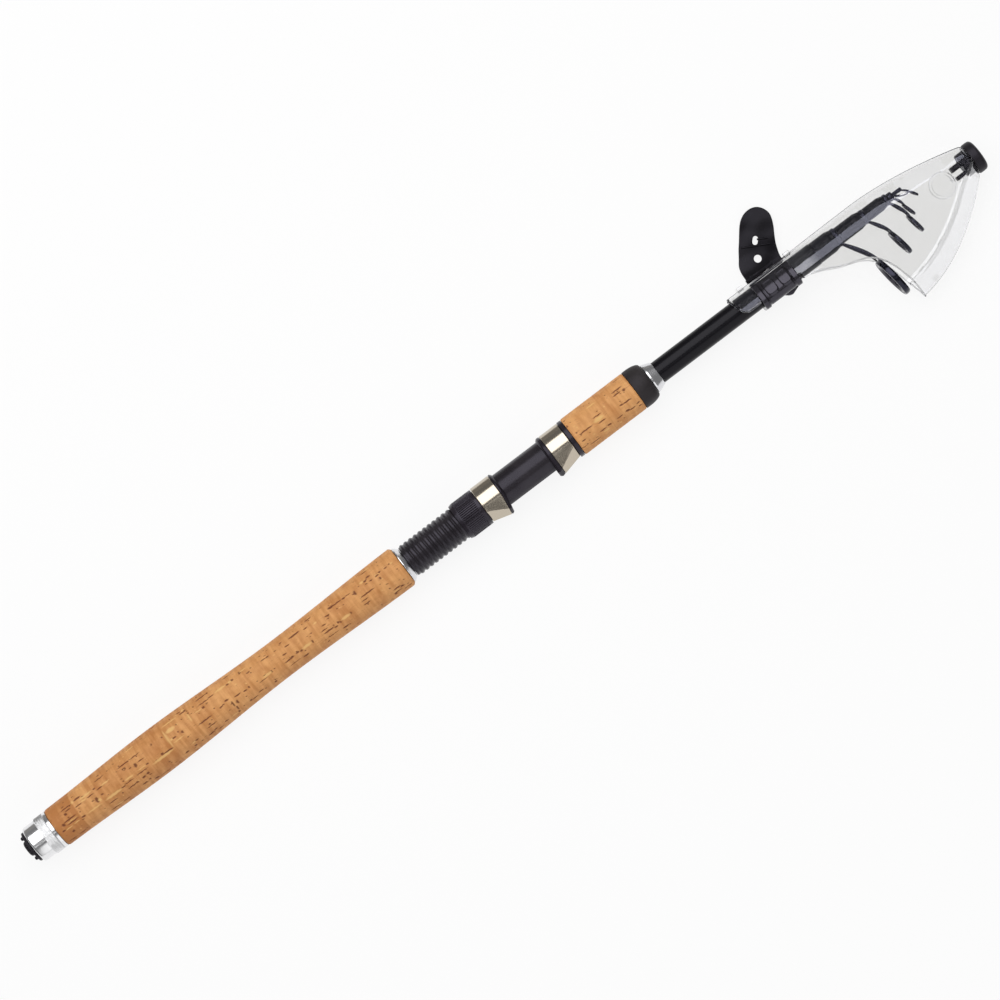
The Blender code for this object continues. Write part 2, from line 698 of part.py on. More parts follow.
def thread_ridge():
    """The thread's ridge: a three-sided section carried along a right-handed helix."""
    root = THREAD_ROOT_RADIUS - EDGE
    base_half = RIDGE_SHARE * THREAD_PITCH / 2
    section = ((root, -base_half), (SEAT_RADIUS, 0.0), (root, base_half))
    margin = base_half + EDGE
    turns = (THREAD_LENGTH - 2 * margin) / THREAD_PITCH
    rings = []
    for i in range(int(turns * THREAD_STEPS) + 1):
        angle = math.tau * i / THREAD_STEPS
        x = SEAT_START + margin + THREAD_PITCH * i / THREAD_STEPS
        rings.append([(x + along, r * math.cos(angle), r * math.sin(angle)) for r, along in section])
    return lofted("thread ridge", None, rings)


def make_seat_body():
    """The seat in one moulding: threaded barrel, smooth pipe, and a flat bed for the reel's foot."""
    smooth = SEAT_START + THREAD_LENGTH
    full = smooth + THREAD_DEPTH
    outer = [
        (SEAT_START, THREAD_ROOT_RADIUS),
        (smooth, THREAD_ROOT_RADIUS),
        (full, SEAT_RADIUS),
        (SEAT_END, SEAT_RADIUS),
    ]
    inner = SEAT_RADIUS - SEAT_WALL
    body = turned("seat_body", "black_plastic", outer, [(SEAT_START, inner), (SEAT_END, inner)])
    combine(body, thread_ridge(), "UNION")
    reach = 2 * SEAT_RADIUS
    low = (full + BED_REAR_MARGIN, -reach, -reach)
    high = (FIXED_FRONT - BED_FRONT_MARGIN, -BED_DROP, reach)
    combine(body, box("foot bed", None, low, high), "DIFFERENCE")


def make_seat_arbors():
    """Two rings that centre the seat on the blank."""
    for name, start in (
        ("seat_arbor_rear", SEAT_START + FIT),
        ("seat_arbor_front", SEAT_END - FIT - ARBOR_LENGTH),
    ):
        end = start + ARBOR_LENGTH
        tube(name, "black_plastic", start, end, ARBOR_RADIUS, BLANK_BORE, SMALL_STEPS)


def nut_groove(share, ribbed):
    """How deep the nut is cut at a share of the turn: fine ribs in panels, plain strips between."""
    steps = 2 * (NUT_RIBS + 1)
    step = round(share * NUT_PANELS * steps) % steps
    return NUT_RIB_DEPTH if ribbed and step >= 2 and step % 2 == 0 else 0.0


def make_lock_nut():
    count = NUT_PANELS * 2 * (NUT_RIBS + 1)
    end = NUT_START + NUT_LENGTH
    chamfer = NUT_START + NUT_CHAMFER
    band = end - NUT_END_BAND
    stations = (
        (NUT_START, SEAT_BORE + NUT_NOSE_WALL, False),
        (chamfer, NUT_RADIUS, False),
        (chamfer + EDGE, NUT_RADIUS, True),
        (band - EDGE, NUT_RADIUS, True),
        (band, NUT_RADIUS, False),
        (end, NUT_RADIUS - EDGE, False),
    )
    rings = []
    for x, radius, ribbed in stations:
        ring = []
        for share in spread(0.0, 1.0, count)[:-1]:
            r = radius - nut_groove(share, ribbed)
            ring.append((x, r * math.cos(math.tau * share), r * math.sin(math.tau * share)))
        rings.append(ring)
    for x in (end, NUT_START):
        rings.append([(x, y, z) for y, z in circle(SEAT_BORE, count)])
    lofted("lock_nut", "black_plastic", rings, closed=True)


def hood_ring(x, drop, inset):
    """A hood's outline at x, set in by inset: round above, and a box that reaches down by drop."""
    radius = HOOD_RADIUS - inset
    half_width = POCKET_HALF_WIDTH - inset
    ring = []
    for turn in spread(0.0, math.tau, HOOD_STEPS)[:-1]:
        c, s = math.cos(turn), math.sin(turn)
        reach = radius
        if c < 0:
            side = half_width / max(abs(s), 1e-6)
            floor = (drop - inset) / abs(c)
            reach = max(radius, min(side, floor))
        ring.append((x, reach * c, reach * s))
    return ring


def make_hood(prefix, back, mouth, rim):
    """A metal hood with a black liner whose rim shows at the mouth.

    back and mouth are places along X, in either order, and rim is the liner's length that shows.
    """
    ahead = 1 if mouth > back else -1
    joint = mouth - ahead * rim
    back_drop = HOOD_RADIUS - POCKET_TUCK
    rim_drop = POCKET_DROP + (POCKET_DROP - back_drop) * FIT / abs(joint - back)
    shell = [hood_ring(back, back_drop, 0.0), hood_ring(joint, POCKET_DROP, 0.0)]
    shell += [hood_ring(joint, POCKET_DROP, HOOD_WALL), hood_ring(back, back_drop, HOOD_WALL)]
    lofted(prefix + "_hood", "nickel", shell, closed=True)
    outside = HOOD_WALL + FIT
    inside = HOOD_RADIUS - SEAT_BORE
    lip = joint + ahead * FIT
    liner = [
        hood_ring(back, back_drop, outside),
        hood_ring(joint, POCKET_DROP, outside),
        hood_ring(lip, rim_drop, outside),
        hood_ring(lip, rim_drop, 0.0),
        hood_ring(mouth - ahead * RIM_CHAMFER, rim_drop, 0.0),
        hood_ring(mouth, rim_drop, RIM_CHAMFER),
        hood_ring(mouth, rim_drop, inside),
        hood_ring(joint, POCKET_DROP, inside),
        hood_ring(back, max(back_drop, SEAT_BORE + inside), inside),
    ]
    lofted(prefix + "_hood_liner", "black_plastic", liner, closed=True)


def make_trim_ring():
    tube("seat_trim_ring", "black_plastic", TRIM_START, SEAT_END, TRIM_RADIUS, SEAT_BORE)


# The blank and the guides


def make_butt_section():
    tube("butt_section", "blank", BLANK_START, BUTT_FRONT, BUTT_RADIUS, RADII[1]["bore"])


def make_section(number):
    """One inner section: thicker at its tail, where it jams in the section behind it."""
    sizes = RADII[number]
    front = PLACES[number]["foot"][1]
    tail = front - SECTION_LENGTH
    if number == 6:
        front -= TIP_TUBE_END + EDGE
    outer = [(tail, sizes["tail"]), (front, sizes["radius"])]
    bore = []
    if sizes["bore"]:
        bore = [(tail, sizes["bore"]), (front, sizes["bore"])]
    turned(f"section_{number}", "blank", outer, bore, SMALL_STEPS)


def make_sleeve(number):
    """The thickened end of a section, with a shoulder down to the guide's foot."""
    start, end = PLACES[number]["sleeve"]
    radius = PLACES[number]["around"]
    outer = [(start, radius), (end - SHOULDER_LENGTH, radius), (end, radius - SHOULDER_DROP)]
    bore = RADII[number]["radius"] + TAPER_FIT
    turned(f"guide_sleeve_{number}", "blank", outer, [(start, bore), (end, bore)], GUIDE_STEPS[number])


def has_sleeve(number):
    start, end = PLACES[number]["sleeve"]
    return end > start


def ring_turned(name, look, center, lean, outer, inner, depth, steps):
    """A ring with rounded faces round a leaning axis."""
    fall = RING_ROUNDING * (outer - inner)
    outer_line = [(-depth, outer - fall), (0.0, outer), (depth, outer - fall)]
    bore = [(-depth, inner + fall), (0.0, inner), (depth, inner + fall)]
    offset = Vector((math.cos(lean), math.sin(lean), 0.0)) * -depth
    return turned(name, look, outer_line, bore, steps, place=Vector(center) + offset, lean=lean)


def guide_foot(number, name, bore):
    """The foot ring round a section, or the tip-top's tube, which is closed at its front."""
    start, end = PLACES[number]["foot"]
    radius = PLACES[number]["around"] - (SHOULDER_DROP if has_sleeve(number) else 0.0)
    outer = [(start, radius), (end - EDGE, radius), (end, radius - EDGE)]
    steps = GUIDE_STEPS[number]
    if number < 6:
        return turned(name, "black_plastic", outer, [(start, bore), (end, bore)], steps)
    foot = turned(name, "black_plastic", outer, steps=steps)
    hole_line = [(start - BITE, bore), (end - TIP_TUBE_END, bore)]
    combine(foot, turned("tip hole", None, hole_line, steps=steps), "DIFFERENCE")
    return foot


def make_guide(number, ahead, drop, ring_radius, lean_degrees, wire_radius):
    """A guide: a foot ring on the blank, two legs, a leaning ring bezel and its ceramic insert."""
    foot_start, foot_end = PLACES[number]["foot"]
    lean = math.radians(lean_degrees)
    center = Vector((foot_end + ahead, -drop, 0.0))
    up = Vector((-math.sin(lean), math.cos(lean), 0.0))
    bezel_in = ring_radius * (1 - BEZEL_SHARE)
    insert_out = bezel_in - FIT
    insert_in = insert_out - ring_radius * INSERT_SHARE
    depth = max(ring_radius * BEZEL_DEPTH_SHARE, LEAST_BEZEL_DEPTH)
    name = f"guide_{number - 1}" if number < 6 else "tip_top"
    solver = "EXACT" if number < 6 else "MANIFOLD"
    steps = GUIDE_STEPS[number]
    bore = RADII[number]["radius"] + TAPER_FIT
    frame = guide_foot(number, name + "_frame", bore)
    bezel = ring_turned(name + " bezel", None, center, lean, ring_radius, bezel_in, depth, steps)
    combine(frame, bezel, "UNION", solver)
    middle = (ring_radius + bezel_in) / 2
    root = bore + LEG_ROOT_LIFT * wire_radius
    root_turn = math.radians(LEG_ROOT_TURN)
    ring_turn = math.radians(LEG_RING_TURN)
    run = min(foot_end - foot_start - EDGE, LEG_RUN)
    for side in (-1, 1):
        joint = center + up * middle * math.cos(ring_turn)
        joint.z = side * middle * math.sin(ring_turn)
        y, z = -root * math.cos(root_turn), side * root * math.sin(root_turn)
        start, bend = Vector((foot_end - run, y, z)), Vector((foot_end - LEG_BEND, y, z))
        knee = bend.lerp(joint, LEG_KNEE) + Vector((LEG_BOW * drop, 0.0, 0.0))
        leg = wire(f"{name} leg {side}", None, [start, bend, knee, joint], wire_radius)
        combine(frame, leg, "UNION", solver)
    insert_depth = INSERT_DEPTH_SHARE * depth
    ring_turned(name + "_ring", "ceramic", center, lean, insert_out, insert_in, insert_depth, steps)


# The clear cover


def cover_top(x):
    """The top line's height at x: rising a little over the guides, then bowing down to the nose."""
    turn = COVER_NOSE - TOP_FALL_LENGTH
    level = TAIL_TOP + TOP_RISE * ease(COVER_START, turn, x)
    share = max(x - turn, 0.0) / TOP_FALL_LENGTH
    return level - (TAIL_TOP + TOP_RISE + NOSE_DROP - NOSE_RADIUS) * share**TOP_BOW


def cover_low(x):
    """The lower line's height at x: level under the guides, then a parabola up to the nose."""
    share = min((COVER_NOSE - x) / BELLY_RISE_LENGTH, 1.0)
    nose = NOSE_DROP + NOSE_RADIUS
    return -nose - (COVER_BOTTOM - nose) * share * (1 + BELLY_BOW * (1 - share))


def cover_half_width(x):
    """Narrow over the blank, wide over the guides, and narrow again at the nose."""
    opening = ease(BUTT_FRONT - WIDEN_BEHIND, BUTT_FRONT + WIDEN_AHEAD, x)
    closing = max(x - COVER_NOSE + NARROW_LENGTH, 0.0) / NARROW_LENGTH
    wide = TAIL_HALF_WIDTH + (COVER_HALF_WIDTH - TAIL_HALF_WIDTH) * opening
    return wide - (COVER_HALF_WIDTH - NOSE_RADIUS) * closing * closing


def cover_ring(x, inset):
    """The cover's outline across X at x, set in by inset: a box with round corners."""
    top = cover_top(x) - inset
    low = cover_low(x) + inset
    half = cover_half_width(x) - inset
    radius = min(half - EDGE, (top - low) / 2 - EDGE, COVER_CORNER - inset)
    ring = []
    for quarter, (edge, side) in enumerate(((top, 1), (low, 1), (low, -1), (top, -1))):
        y = edge - radius if edge == top else edge + radius
        z = side * (half - radius)
        for turn in spread(0.5 * math.pi * quarter, 0.5 * math.pi * (quarter + 1), CORNER_STEPS):
            ring.append((x, y + radius * math.cos(turn), z + radius * math.sin(turn)))
    return ring


def make_cover():
    """The clear shell: round over the blank, deep over the guides, open at the rear."""
    belly = COVER_NOSE - BELLY_RISE_LENGTH
    places = spread(COVER_START, belly, 12)[:-1] + spread(belly, COVER_NOSE, 9)
    inner_end = COVER_NOSE - COVER_WALL
    inner_places = [x for x in places if x < inner_end - COVER_WALL] + [inner_end]
    outer = [cover_ring(x, 0.0) for x in reversed(places)]
    inner = [cover_ring(x, COVER_WALL) for x in inner_places]
    shell = lofted("cover_shell", "clear", outer + inner)
    combine(shell, cover_rear_cutter(), "DIFFERENCE")
    hole_radius = PLUG_STEM_RADIUS + FIT
    hole_line = [(COVER_NOSE - 4 * COVER_WALL, hole_radius), (COVER_NOSE + COVER_WALL, hole_radius)]
    combine(shell, turned("nose hole", None, hole_line, height=-NOSE_DROP), "DIFFERENCE")
    top = TAIL_TOP + RIB_HEIGHT
    for start in (STRAP_START - RIB_LENGTH - REAR_RIB_GAP, STRAP_END + FRONT_RIB_GAP):
        low = (start, BLANK_BORE, -RIB_HALF_WIDTH)
        high = (start + RIB_LENGTH, top, RIB_HALF_WIDTH)
        combine(shell, box(f"cover rib {start:.3f}", None, low, high), "UNION")
    low = (STRAP_START - RIB_LENGTH, TAIL_TOP - COVER_WALL + EDGE, RAIL_SIDE)
    high = (STRAP_END + RIB_LENGTH, top, RAIL_SIDE + RAIL_WIDTH)
    combine(shell, box("cover rail", None, low, high), "UNION")


def cover_rear_cutter():
    """A plate that cuts away the cover's rear below the tail's edge and behind the first guide."""
    line = [(COVER_START + x, y) for x, y in TAIL_EDGE]
    line += [(STRAP_START, -TAIL_EDGE_DROP), (STRAP_END, -TAIL_EDGE_DROP)]
    line += [(STRAP_END + TROUGH_STEP, -TROUGH_DROP)]
    line += [(FIRST_GUIDE + x, y) for x, y in REAR_EDGE]
    start = COVER_START - BITE
    behind = COVER_START - CUT_MARGIN
    far = -COVER_BOTTOM - CUT_MARGIN
    rise = TAIL_TOP - COVER_WALL
    outline = [(behind, rise), (start, rise), *line, (line[-1][0], far), (behind, far)]
    wide = COVER_HALF_WIDTH + CUT_MARGIN
    return plate("cover rear cutter", None, [outline], -wide, wide)


def make_nose_plug():
    """Rubber plug in the cover's nose: a round head, a stem through the hole and two prongs."""
    start = COVER_NOSE - PLUG_STEM_LENGTH
    head = COVER_NOSE + FIT
    end = head + PLUG_HEAD_LENGTH
    outer = [(start, PLUG_STEM_RADIUS), (head, PLUG_STEM_RADIUS), (head, PLUG_HEAD_RADIUS)]
    outer += rounded((end - PLUG_ROUNDING, PLUG_HEAD_RADIUS), (end, PLUG_HEAD_RADIUS - PLUG_ROUNDING))
    plug = turned("nose_plug", "rubber", outer, height=-NOSE_DROP)
    for i, (low, high) in enumerate(PRONG_HEIGHTS):
        near = (start - PRONG_LENGTH, low - NOSE_DROP, -PRONG_HALF_WIDTH)
        far = (start + BITE, high - NOSE_DROP, PRONG_HALF_WIDTH)
        combine(plug, box(f"plug prong {i}", None, near, far), "UNION")


# The strap


def strap_ring(x, swell):
    """The strap's section at x: a U round the cover's tail and the blank, open at the top."""
    half = TAIL_HALF_WIDTH + FIT
    outer, inner = [], []
    for line, grow, corner in (
        (outer, STRAP_WALL + swell, STRAP_CORNER + STRAP_WALL),
        (inner, 0.0, STRAP_CORNER),
    ):
        line.append((STRAP_EDGE_TOP, half + grow))
        for side in (1, -1):
            start = 0.5 * math.pi if side == 1 else math.pi
            y = -(BLANK_BORE + grow) + corner
            z = side * (half + grow - corner)
            for turn in spread(start, start + 0.5 * math.pi, CORNER_STEPS):
                line.append((y + corner * math.cos(turn), z + corner * math.sin(turn)))
        line.append((STRAP_EDGE_TOP, -half - grow))
    return [(x, y, z) for y, z in outer + list(reversed(inner))]


def make_strap_wrap():
    """The strap's band, with a rim at each end, two raised pads and a small hook below."""
    rings = []
    for x, swell in (
        (STRAP_START, STRAP_RIM_HEIGHT),
        (STRAP_START + STRAP_RIM, STRAP_RIM_HEIGHT),
        (STRAP_START + STRAP_RIM + EDGE, 0.0),
        (STRAP_END - STRAP_RIM - EDGE, 0.0),
        (STRAP_END - STRAP_RIM, STRAP_RIM_HEIGHT),
        (STRAP_END, STRAP_RIM_HEIGHT),
    ):
        rings.append(strap_ring(x, swell))
    band = lofted("strap_wrap", "rubber", rings)
    outside = TAIL_HALF_WIDTH + FIT + STRAP_WALL
    pad_length = (STRAP_LENGTH - PAD_STRIP_LEAD - PAD_STRIP_GAP - PAD_STRIP_TAIL) / 2
    for i in range(2):
        start = STRAP_START + PAD_STRIP_LEAD + i * (pad_length + PAD_STRIP_GAP)
        low = (start, PAD_STRIP_SIDES[0], outside - BITE)
        high = (start + pad_length, PAD_STRIP_SIDES[1], outside + PAD_STRIP_HEIGHT)
        combine(band, box(f"strap pad {i}", None, low, high), "UNION")
    under = -(BLANK_BORE + STRAP_WALL)
    hook = STRAP_START + HOOK_START
    low = (hook, under - HOOK_HEIGHT, -HOOK_HALF_WIDTH)
    high = (hook + HOOK_LENGTH, under + BITE, HOOK_HALF_WIDTH)
    combine(band, box("strap hook", None, low, high), "UNION")


def make_strap_tongue():
    """The free end of the strap, with its holes. Its origin is on the fold at its root."""
    radius = TONGUE_THICKNESS / 2
    fold = STRAP_EDGE_TOP + FIT + radius
    middle = -(TAIL_HALF_WIDTH + FIT + STRAP_WALL / 2)
    corners = list(TONGUE_REAR) + [(STRAP_LENGTH + x, y) for x, y in TONGUE_FRONT]
    outlines = [smooth_line(corners, 2)]
    for x, y, hole_radius in TONGUE_HOLES:
        outlines.append([(x + a, y + b) for a, b in circle(hole_radius, SMALL_STEPS)])
    place = (STRAP_START, fold, middle)
    tongue = plate("strap_tongue", "rubber", outlines, -radius, radius, place)
    start, end = STRAP_START + corners[0][0], STRAP_START + corners[-1][0]
    line = [(start, radius), (end, radius)]
    root = turned("tongue root", None, line, steps=SMALL_STEPS, place=(start, fold, middle))
    combine(tongue, root, "UNION")


def build():
    make_butt_pad()
    make_butt_cap()
    make_cap_cushion()
    make_butt_ferrule()
    make_rear_grip()
    make_winding_check("rear_winding_check", REAR_CHECK_START, REAR_CHECK_LENGTH, REAR_CHECK_WALLS)
    make_seat_body()
    make_seat_arbors()
    make_lock_nut()
    make_hood("sliding", HOOD_START, HOOD_FRONT, HOOD_RIM)
    make_hood("fixed", FIXED_FRONT, FIXED_START, FIXED_RIM)
    make_trim_ring()
    make_fore_grip()
    make_end_ring()
    make_winding_check("front_winding_check", FRONT_CHECK_START, FRONT_CHECK_LENGTH, FRONT_CHECK_WALLS)
    make_butt_section()
    for number in PLACES:
        make_section(number)
        if has_sleeve(number):
            make_sleeve(number)
    for guide in GUIDES:
        make_guide(*guide)
    make_cover()
    make_nose_plug()
    make_strap_wrap()
    make_strap_tongue()


clear_scene()
PARTS = collection("travel spinning rod")
CUTTERS = collection("cutters", hidden=True)
build()
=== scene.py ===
# %% [markdown]
# # A closed travel spinning rod
#
# The rod lies on its side with its butt towards -X and its tip towards +X. Its guides point to -Y
# and +Z faces the camera. Every place is in metres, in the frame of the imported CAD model, so that
# a finer piece can simply be made where the CAD says.

# %% Load the frame
import math

import bpy
import numpy as np
from mathutils import Matrix, Vector


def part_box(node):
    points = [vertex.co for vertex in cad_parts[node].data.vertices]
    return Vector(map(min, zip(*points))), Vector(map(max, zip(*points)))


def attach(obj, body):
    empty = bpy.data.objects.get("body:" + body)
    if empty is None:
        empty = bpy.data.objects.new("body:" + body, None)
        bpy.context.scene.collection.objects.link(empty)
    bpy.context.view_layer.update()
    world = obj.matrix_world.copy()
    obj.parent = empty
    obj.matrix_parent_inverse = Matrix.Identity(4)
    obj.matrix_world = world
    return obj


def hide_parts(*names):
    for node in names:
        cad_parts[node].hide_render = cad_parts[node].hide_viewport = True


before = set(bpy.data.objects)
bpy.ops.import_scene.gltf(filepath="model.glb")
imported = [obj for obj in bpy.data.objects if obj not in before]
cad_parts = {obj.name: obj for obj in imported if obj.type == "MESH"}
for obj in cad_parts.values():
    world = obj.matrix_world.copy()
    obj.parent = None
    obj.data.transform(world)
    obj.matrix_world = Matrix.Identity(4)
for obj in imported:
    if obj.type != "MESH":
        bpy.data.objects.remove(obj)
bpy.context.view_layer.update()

MM = 0.001


def linked(name, data):
    """A new object in the scene, made of a mesh, a lamp, a curve or a camera."""
    made = bpy.data.objects.new(name, data)
    bpy.context.scene.collection.objects.link(made)
    return made


# %% [markdown]
# ## The camera
#
# The picture was taken from straight above, about 2.7 m up: the round edges near the butt bulge one
# way and those near the tip the other. A long lens from there, turned until the rod climbs to the
# upper right, gives the photograph's framing.

# %% Camera
EYE = Vector((0.33155, -0.003685, 2.705))
TARGET = Vector((0.35244, -0.003685, 0.0))
ROLL = math.radians(-37.131)
LENS = 162.318


def make_camera():
    """A camera whose right and up are the level ones turned by the roll about the line of sight."""
    forward = (TARGET - EYE).normalized()
    level_right = forward.cross(Vector((0.0, 1.0, 0.0))).normalized()
    level_up = level_right.cross(forward)
    right = level_right * math.cos(ROLL) + level_up * math.sin(ROLL)
    up = level_up * math.cos(ROLL) - level_right * math.sin(ROLL)
    data = bpy.data.cameras.new("camera")
    data.lens = LENS
    data.sensor_width = 36.0
    data.clip_end = 50.0
    made = linked("camera", data)
    made.matrix_world = Matrix((
        (right.x, up.x, -forward.x, EYE.x),
        (right.y, up.y, -forward.y, EYE.y),
        (right.z, up.z, -forward.z, EYE.z),
        (0.0, 0.0, 0.0, 1.0),
    ))
    bpy.context.scene.camera = made


make_camera()
bpy.context.scene.view_settings.view_transform = "Standard"
print("camera at", tuple(round(c, 3) for c in EYE), "with a lens of", LENS, "mm")

# %% [markdown]
# ## Writing shader maths as plain expressions
#
# A material is a small program of nodes. Wiring dozens of Math nodes by hand hides what it says,
# so a number in the tree is wrapped in a class whose operators add the nodes. Any other node comes
# from one method, which sets the node's own settings first and its sockets after.


# %% Node tools
class Value:
    """A number or colour in a node tree. Arithmetic on it adds Math nodes."""

    def __init__(self, finish, socket):
        self.finish, self.socket = finish, socket

    def math(self, operation, *others, before=()):
        sockets = dict(enumerate((*before, self, *others)))
        return self.finish.node("ShaderNodeMath", {"operation": operation}, sockets)

    def __add__(self, other):
        return self.math("ADD", other)

    def __sub__(self, other):
        return self.math("SUBTRACT", other)

    def __rsub__(self, other):
        return self.math("SUBTRACT", before=(other,))

    def __mul__(self, other):
        return self.math("MULTIPLY", other)

    def __truediv__(self, other):
        return self.math("DIVIDE", other)

    def __pow__(self, other):
        return self.math("POWER", other)

    __radd__, __rmul__ = __add__, __mul__

    def clamp(self):
        return self.math("MAXIMUM", 0.0).math("MINIMUM", 1.0)

    def ramp(self, low, high):
        """0 at low, 1 at high, and straight between them."""
        return ((self - low) * (1.0 / (high - low))).clamp()


class Finish:
    """A material with a Principled shader, built up node by node."""

    def __init__(self, name, **sockets):
        self.material = bpy.data.materials.new(name)
        self.material.use_nodes = True
        self.tree = self.material.node_tree
        self.tree.nodes.clear()
        self.shader = self.tree.nodes.new("ShaderNodeBsdfPrincipled")
        self.output = self.tree.nodes.new("ShaderNodeOutputMaterial")
        self.tree.links.new(self.shader.outputs[0], self.output.inputs["Surface"])
        self.set(**sockets)
        self.place = self.node("ShaderNodeTexCoord", {}, {}, "Object")

    def set(self, **sockets):
        """Values or links for the shader's sockets, named with underscores for spaces."""
        for name, value in sockets.items():
            self.plug(self.shader.inputs[name.replace("_", " ")], value)

    def plug(self, socket, value):
        if isinstance(value, Value):
            self.tree.links.new(value.socket, socket)
        elif socket.type == "RGBA" and len(value) == 3:
            socket.default_value = (*value, 1.0)
        else:
            socket.default_value = value

    def node(self, kind, settings, sockets, output=0):
        """A node of a kind, with its settings and then the values or links of its sockets."""
        made = self.tree.nodes.new(kind)
        for name, value in settings.items():
            setattr(made, name, value)
        for name, value in sockets.items():
            self.plug(made.inputs[name], value)
        return Value(self, made.outputs[output])

    def noise(self, scale, detail=2.0, sides=None):
        """Smooth noise from 0 to 1, with scale waves to a metre, times sides along X, Y and Z."""
        place = self.place
        if sides:
            place = self.node("ShaderNodeVectorMath", {"operation": "MULTIPLY"}, {0: place, 1: sides})
        sockets = {"Vector": place, "Scale": scale, "Detail": detail}
        return self.node("ShaderNodeTexNoise", {}, sockets)

    def mix(self, share, low, high):
        """A colour that goes from low to high as share goes from 0 to 1."""
        settings = {"data_type": "RGBA"}
        return self.node("ShaderNodeMix", settings, {0: share, 6: low, 7: high}, 2)

    def attribute(self, name):
        return self.node("ShaderNodeAttribute", {"attribute_name": name}, {}, "Fac")

    def bump(self, height, distance, strength=1.0):
        """A Bump node on the shader's normal: height in shares of distance, in metres."""
        sockets = {"Height": height, "Distance": distance, "Strength": strength}
        self.set(Normal=self.node("ShaderNodeBump", {}, sockets))

    def on(self, made):
        """Makes this the only material of an object."""
        made.data.materials.clear()
        made.data.materials.append(self.material)


# %% [markdown]
# ## Floor and light
#
# The rod lies on white paper under a long softbox on the strap's side. Metal shows nothing but its
# surroundings, so a pale reflector on the guides' side, a thin strip of light, the dim gaps between
# them and a dim card beyond the rod make its light and dark bands. The reflector, the strip and a
# glow behind the softbox only show in gloss, and a fill lamp on the reflector's side lights what
# isn't shiny. The paper is white to the camera, to reflections and through clear plastic.

# %% Floor and light
FLOOR_HEIGHT = -0.01421
FLOOR_SIDE = 12.0
PAPER_SHARE = 0.88  # how much of the paper's colour is its own white, and not the lamps' light
ROOM_LEVEL = 0.26
MIDDLE_X = 0.35
CARD_EDGE = 0.046  # how far the dim card starts from the rod's line
LAMPS = [
    # name, angle and half its spread in degrees, distance, level, length, rays that don't see it
    ("softbox", 29.0, 27.5, 1.2, 1.92, 2.0, ()),
    ("reflector", -61.0, 27.0, 1.2, 0.95, 1.3, ("diffuse", "transmission")),
    ("fill", -52.0, 25.0, 1.3, 0.78, 2.0, ("glossy",)),
    ("glow", 29.0, 27.5, 1.25, 0.5, 2.0, ("diffuse", "transmission")),
    ("strip", -14.5, 1.1, 1.3, 2.0, 2.0, ("diffuse",)),
]


def flat_card(name, low, high, height):
    """A flat card between two corners at one height."""
    mesh = bpy.data.meshes.new(name)
    corners = [(low[0], low[1]), (high[0], low[1]), (high[0], high[1]), (low[0], high[1])]
    mesh.from_pydata([(x, y, height) for x, y in corners], [], [(0, 1, 2, 3)])
    made = linked(name, mesh)
    return made


def make_paper():
    half = FLOOR_SIDE / 2
    paper = flat_card("floor", (MIDDLE_X - half, -half), (MIDDLE_X + half, half), FLOOR_HEIGHT)
    finish = Finish("white paper", Base_Color=(0.93, 0.93, 0.93), Roughness=0.9, Specular_IOR_Level=0.2)
    rays = finish.tree.nodes.new("ShaderNodeLightPath")
    camera, gloss, clear = (Value(finish, rays.outputs[f"Is {kind} Ray"])
                            for kind in ("Camera", "Glossy", "Transmission"))
    others = gloss + clear
    glow = finish.node("ShaderNodeEmission", {}, {"Color": (1.0, 1.0, 1.0), "Strength": 1.0})
    share = (camera * PAPER_SHARE + others).clamp()
    seen = finish.node("ShaderNodeMixShader", {}, {0: share, 2: glow})
    finish.tree.links.new(finish.shader.outputs[0], seen.socket.node.inputs[1])
    finish.tree.links.new(seen.socket, finish.output.inputs["Surface"])
    finish.on(paper)


def make_black_card():
    """A dim card that only reflections see, on the floor along the strap's side of the rod."""
    card = flat_card("black card", (-3.0, CARD_EDGE), (4.0, 3.0), FLOOR_HEIGHT + 0.0004)
    Finish("black card", Base_Color=(0.0, 0.0, 0.0), Roughness=1.0, Specular_IOR_Level=0.0,
           Emission_Color=(1.0, 0.97, 0.93), Emission_Strength=ROOM_LEVEL).on(card)
    for kind in ("camera", "diffuse", "transmission", "volume_scatter", "shadow"):
        setattr(card, "visible_" + kind, False)


def make_lamp(name, angle, half_angle, distance, level, length, hidden):
    """A long area lamp beside the rod, at an angle from straight up towards +Y.

    Level is its radiance: a lamp's watts are its level times its area times pi.
    """
    width = 2 * distance * math.tan(math.radians(half_angle))
    data = bpy.data.lights.new(name, "AREA")
    data.shape = "RECTANGLE"
    data.size, data.size_y = length, width
    data.energy = level * length * width * math.pi
    turn = math.radians(angle)
    made = linked(name, data)
    made.location = (MIDDLE_X, distance * math.sin(turn), distance * math.cos(turn))
    made.rotation_euler = (-turn, 0.0, 0.0)
    for kind in ("camera", *hidden):
        setattr(made, "visible_" + kind, False)


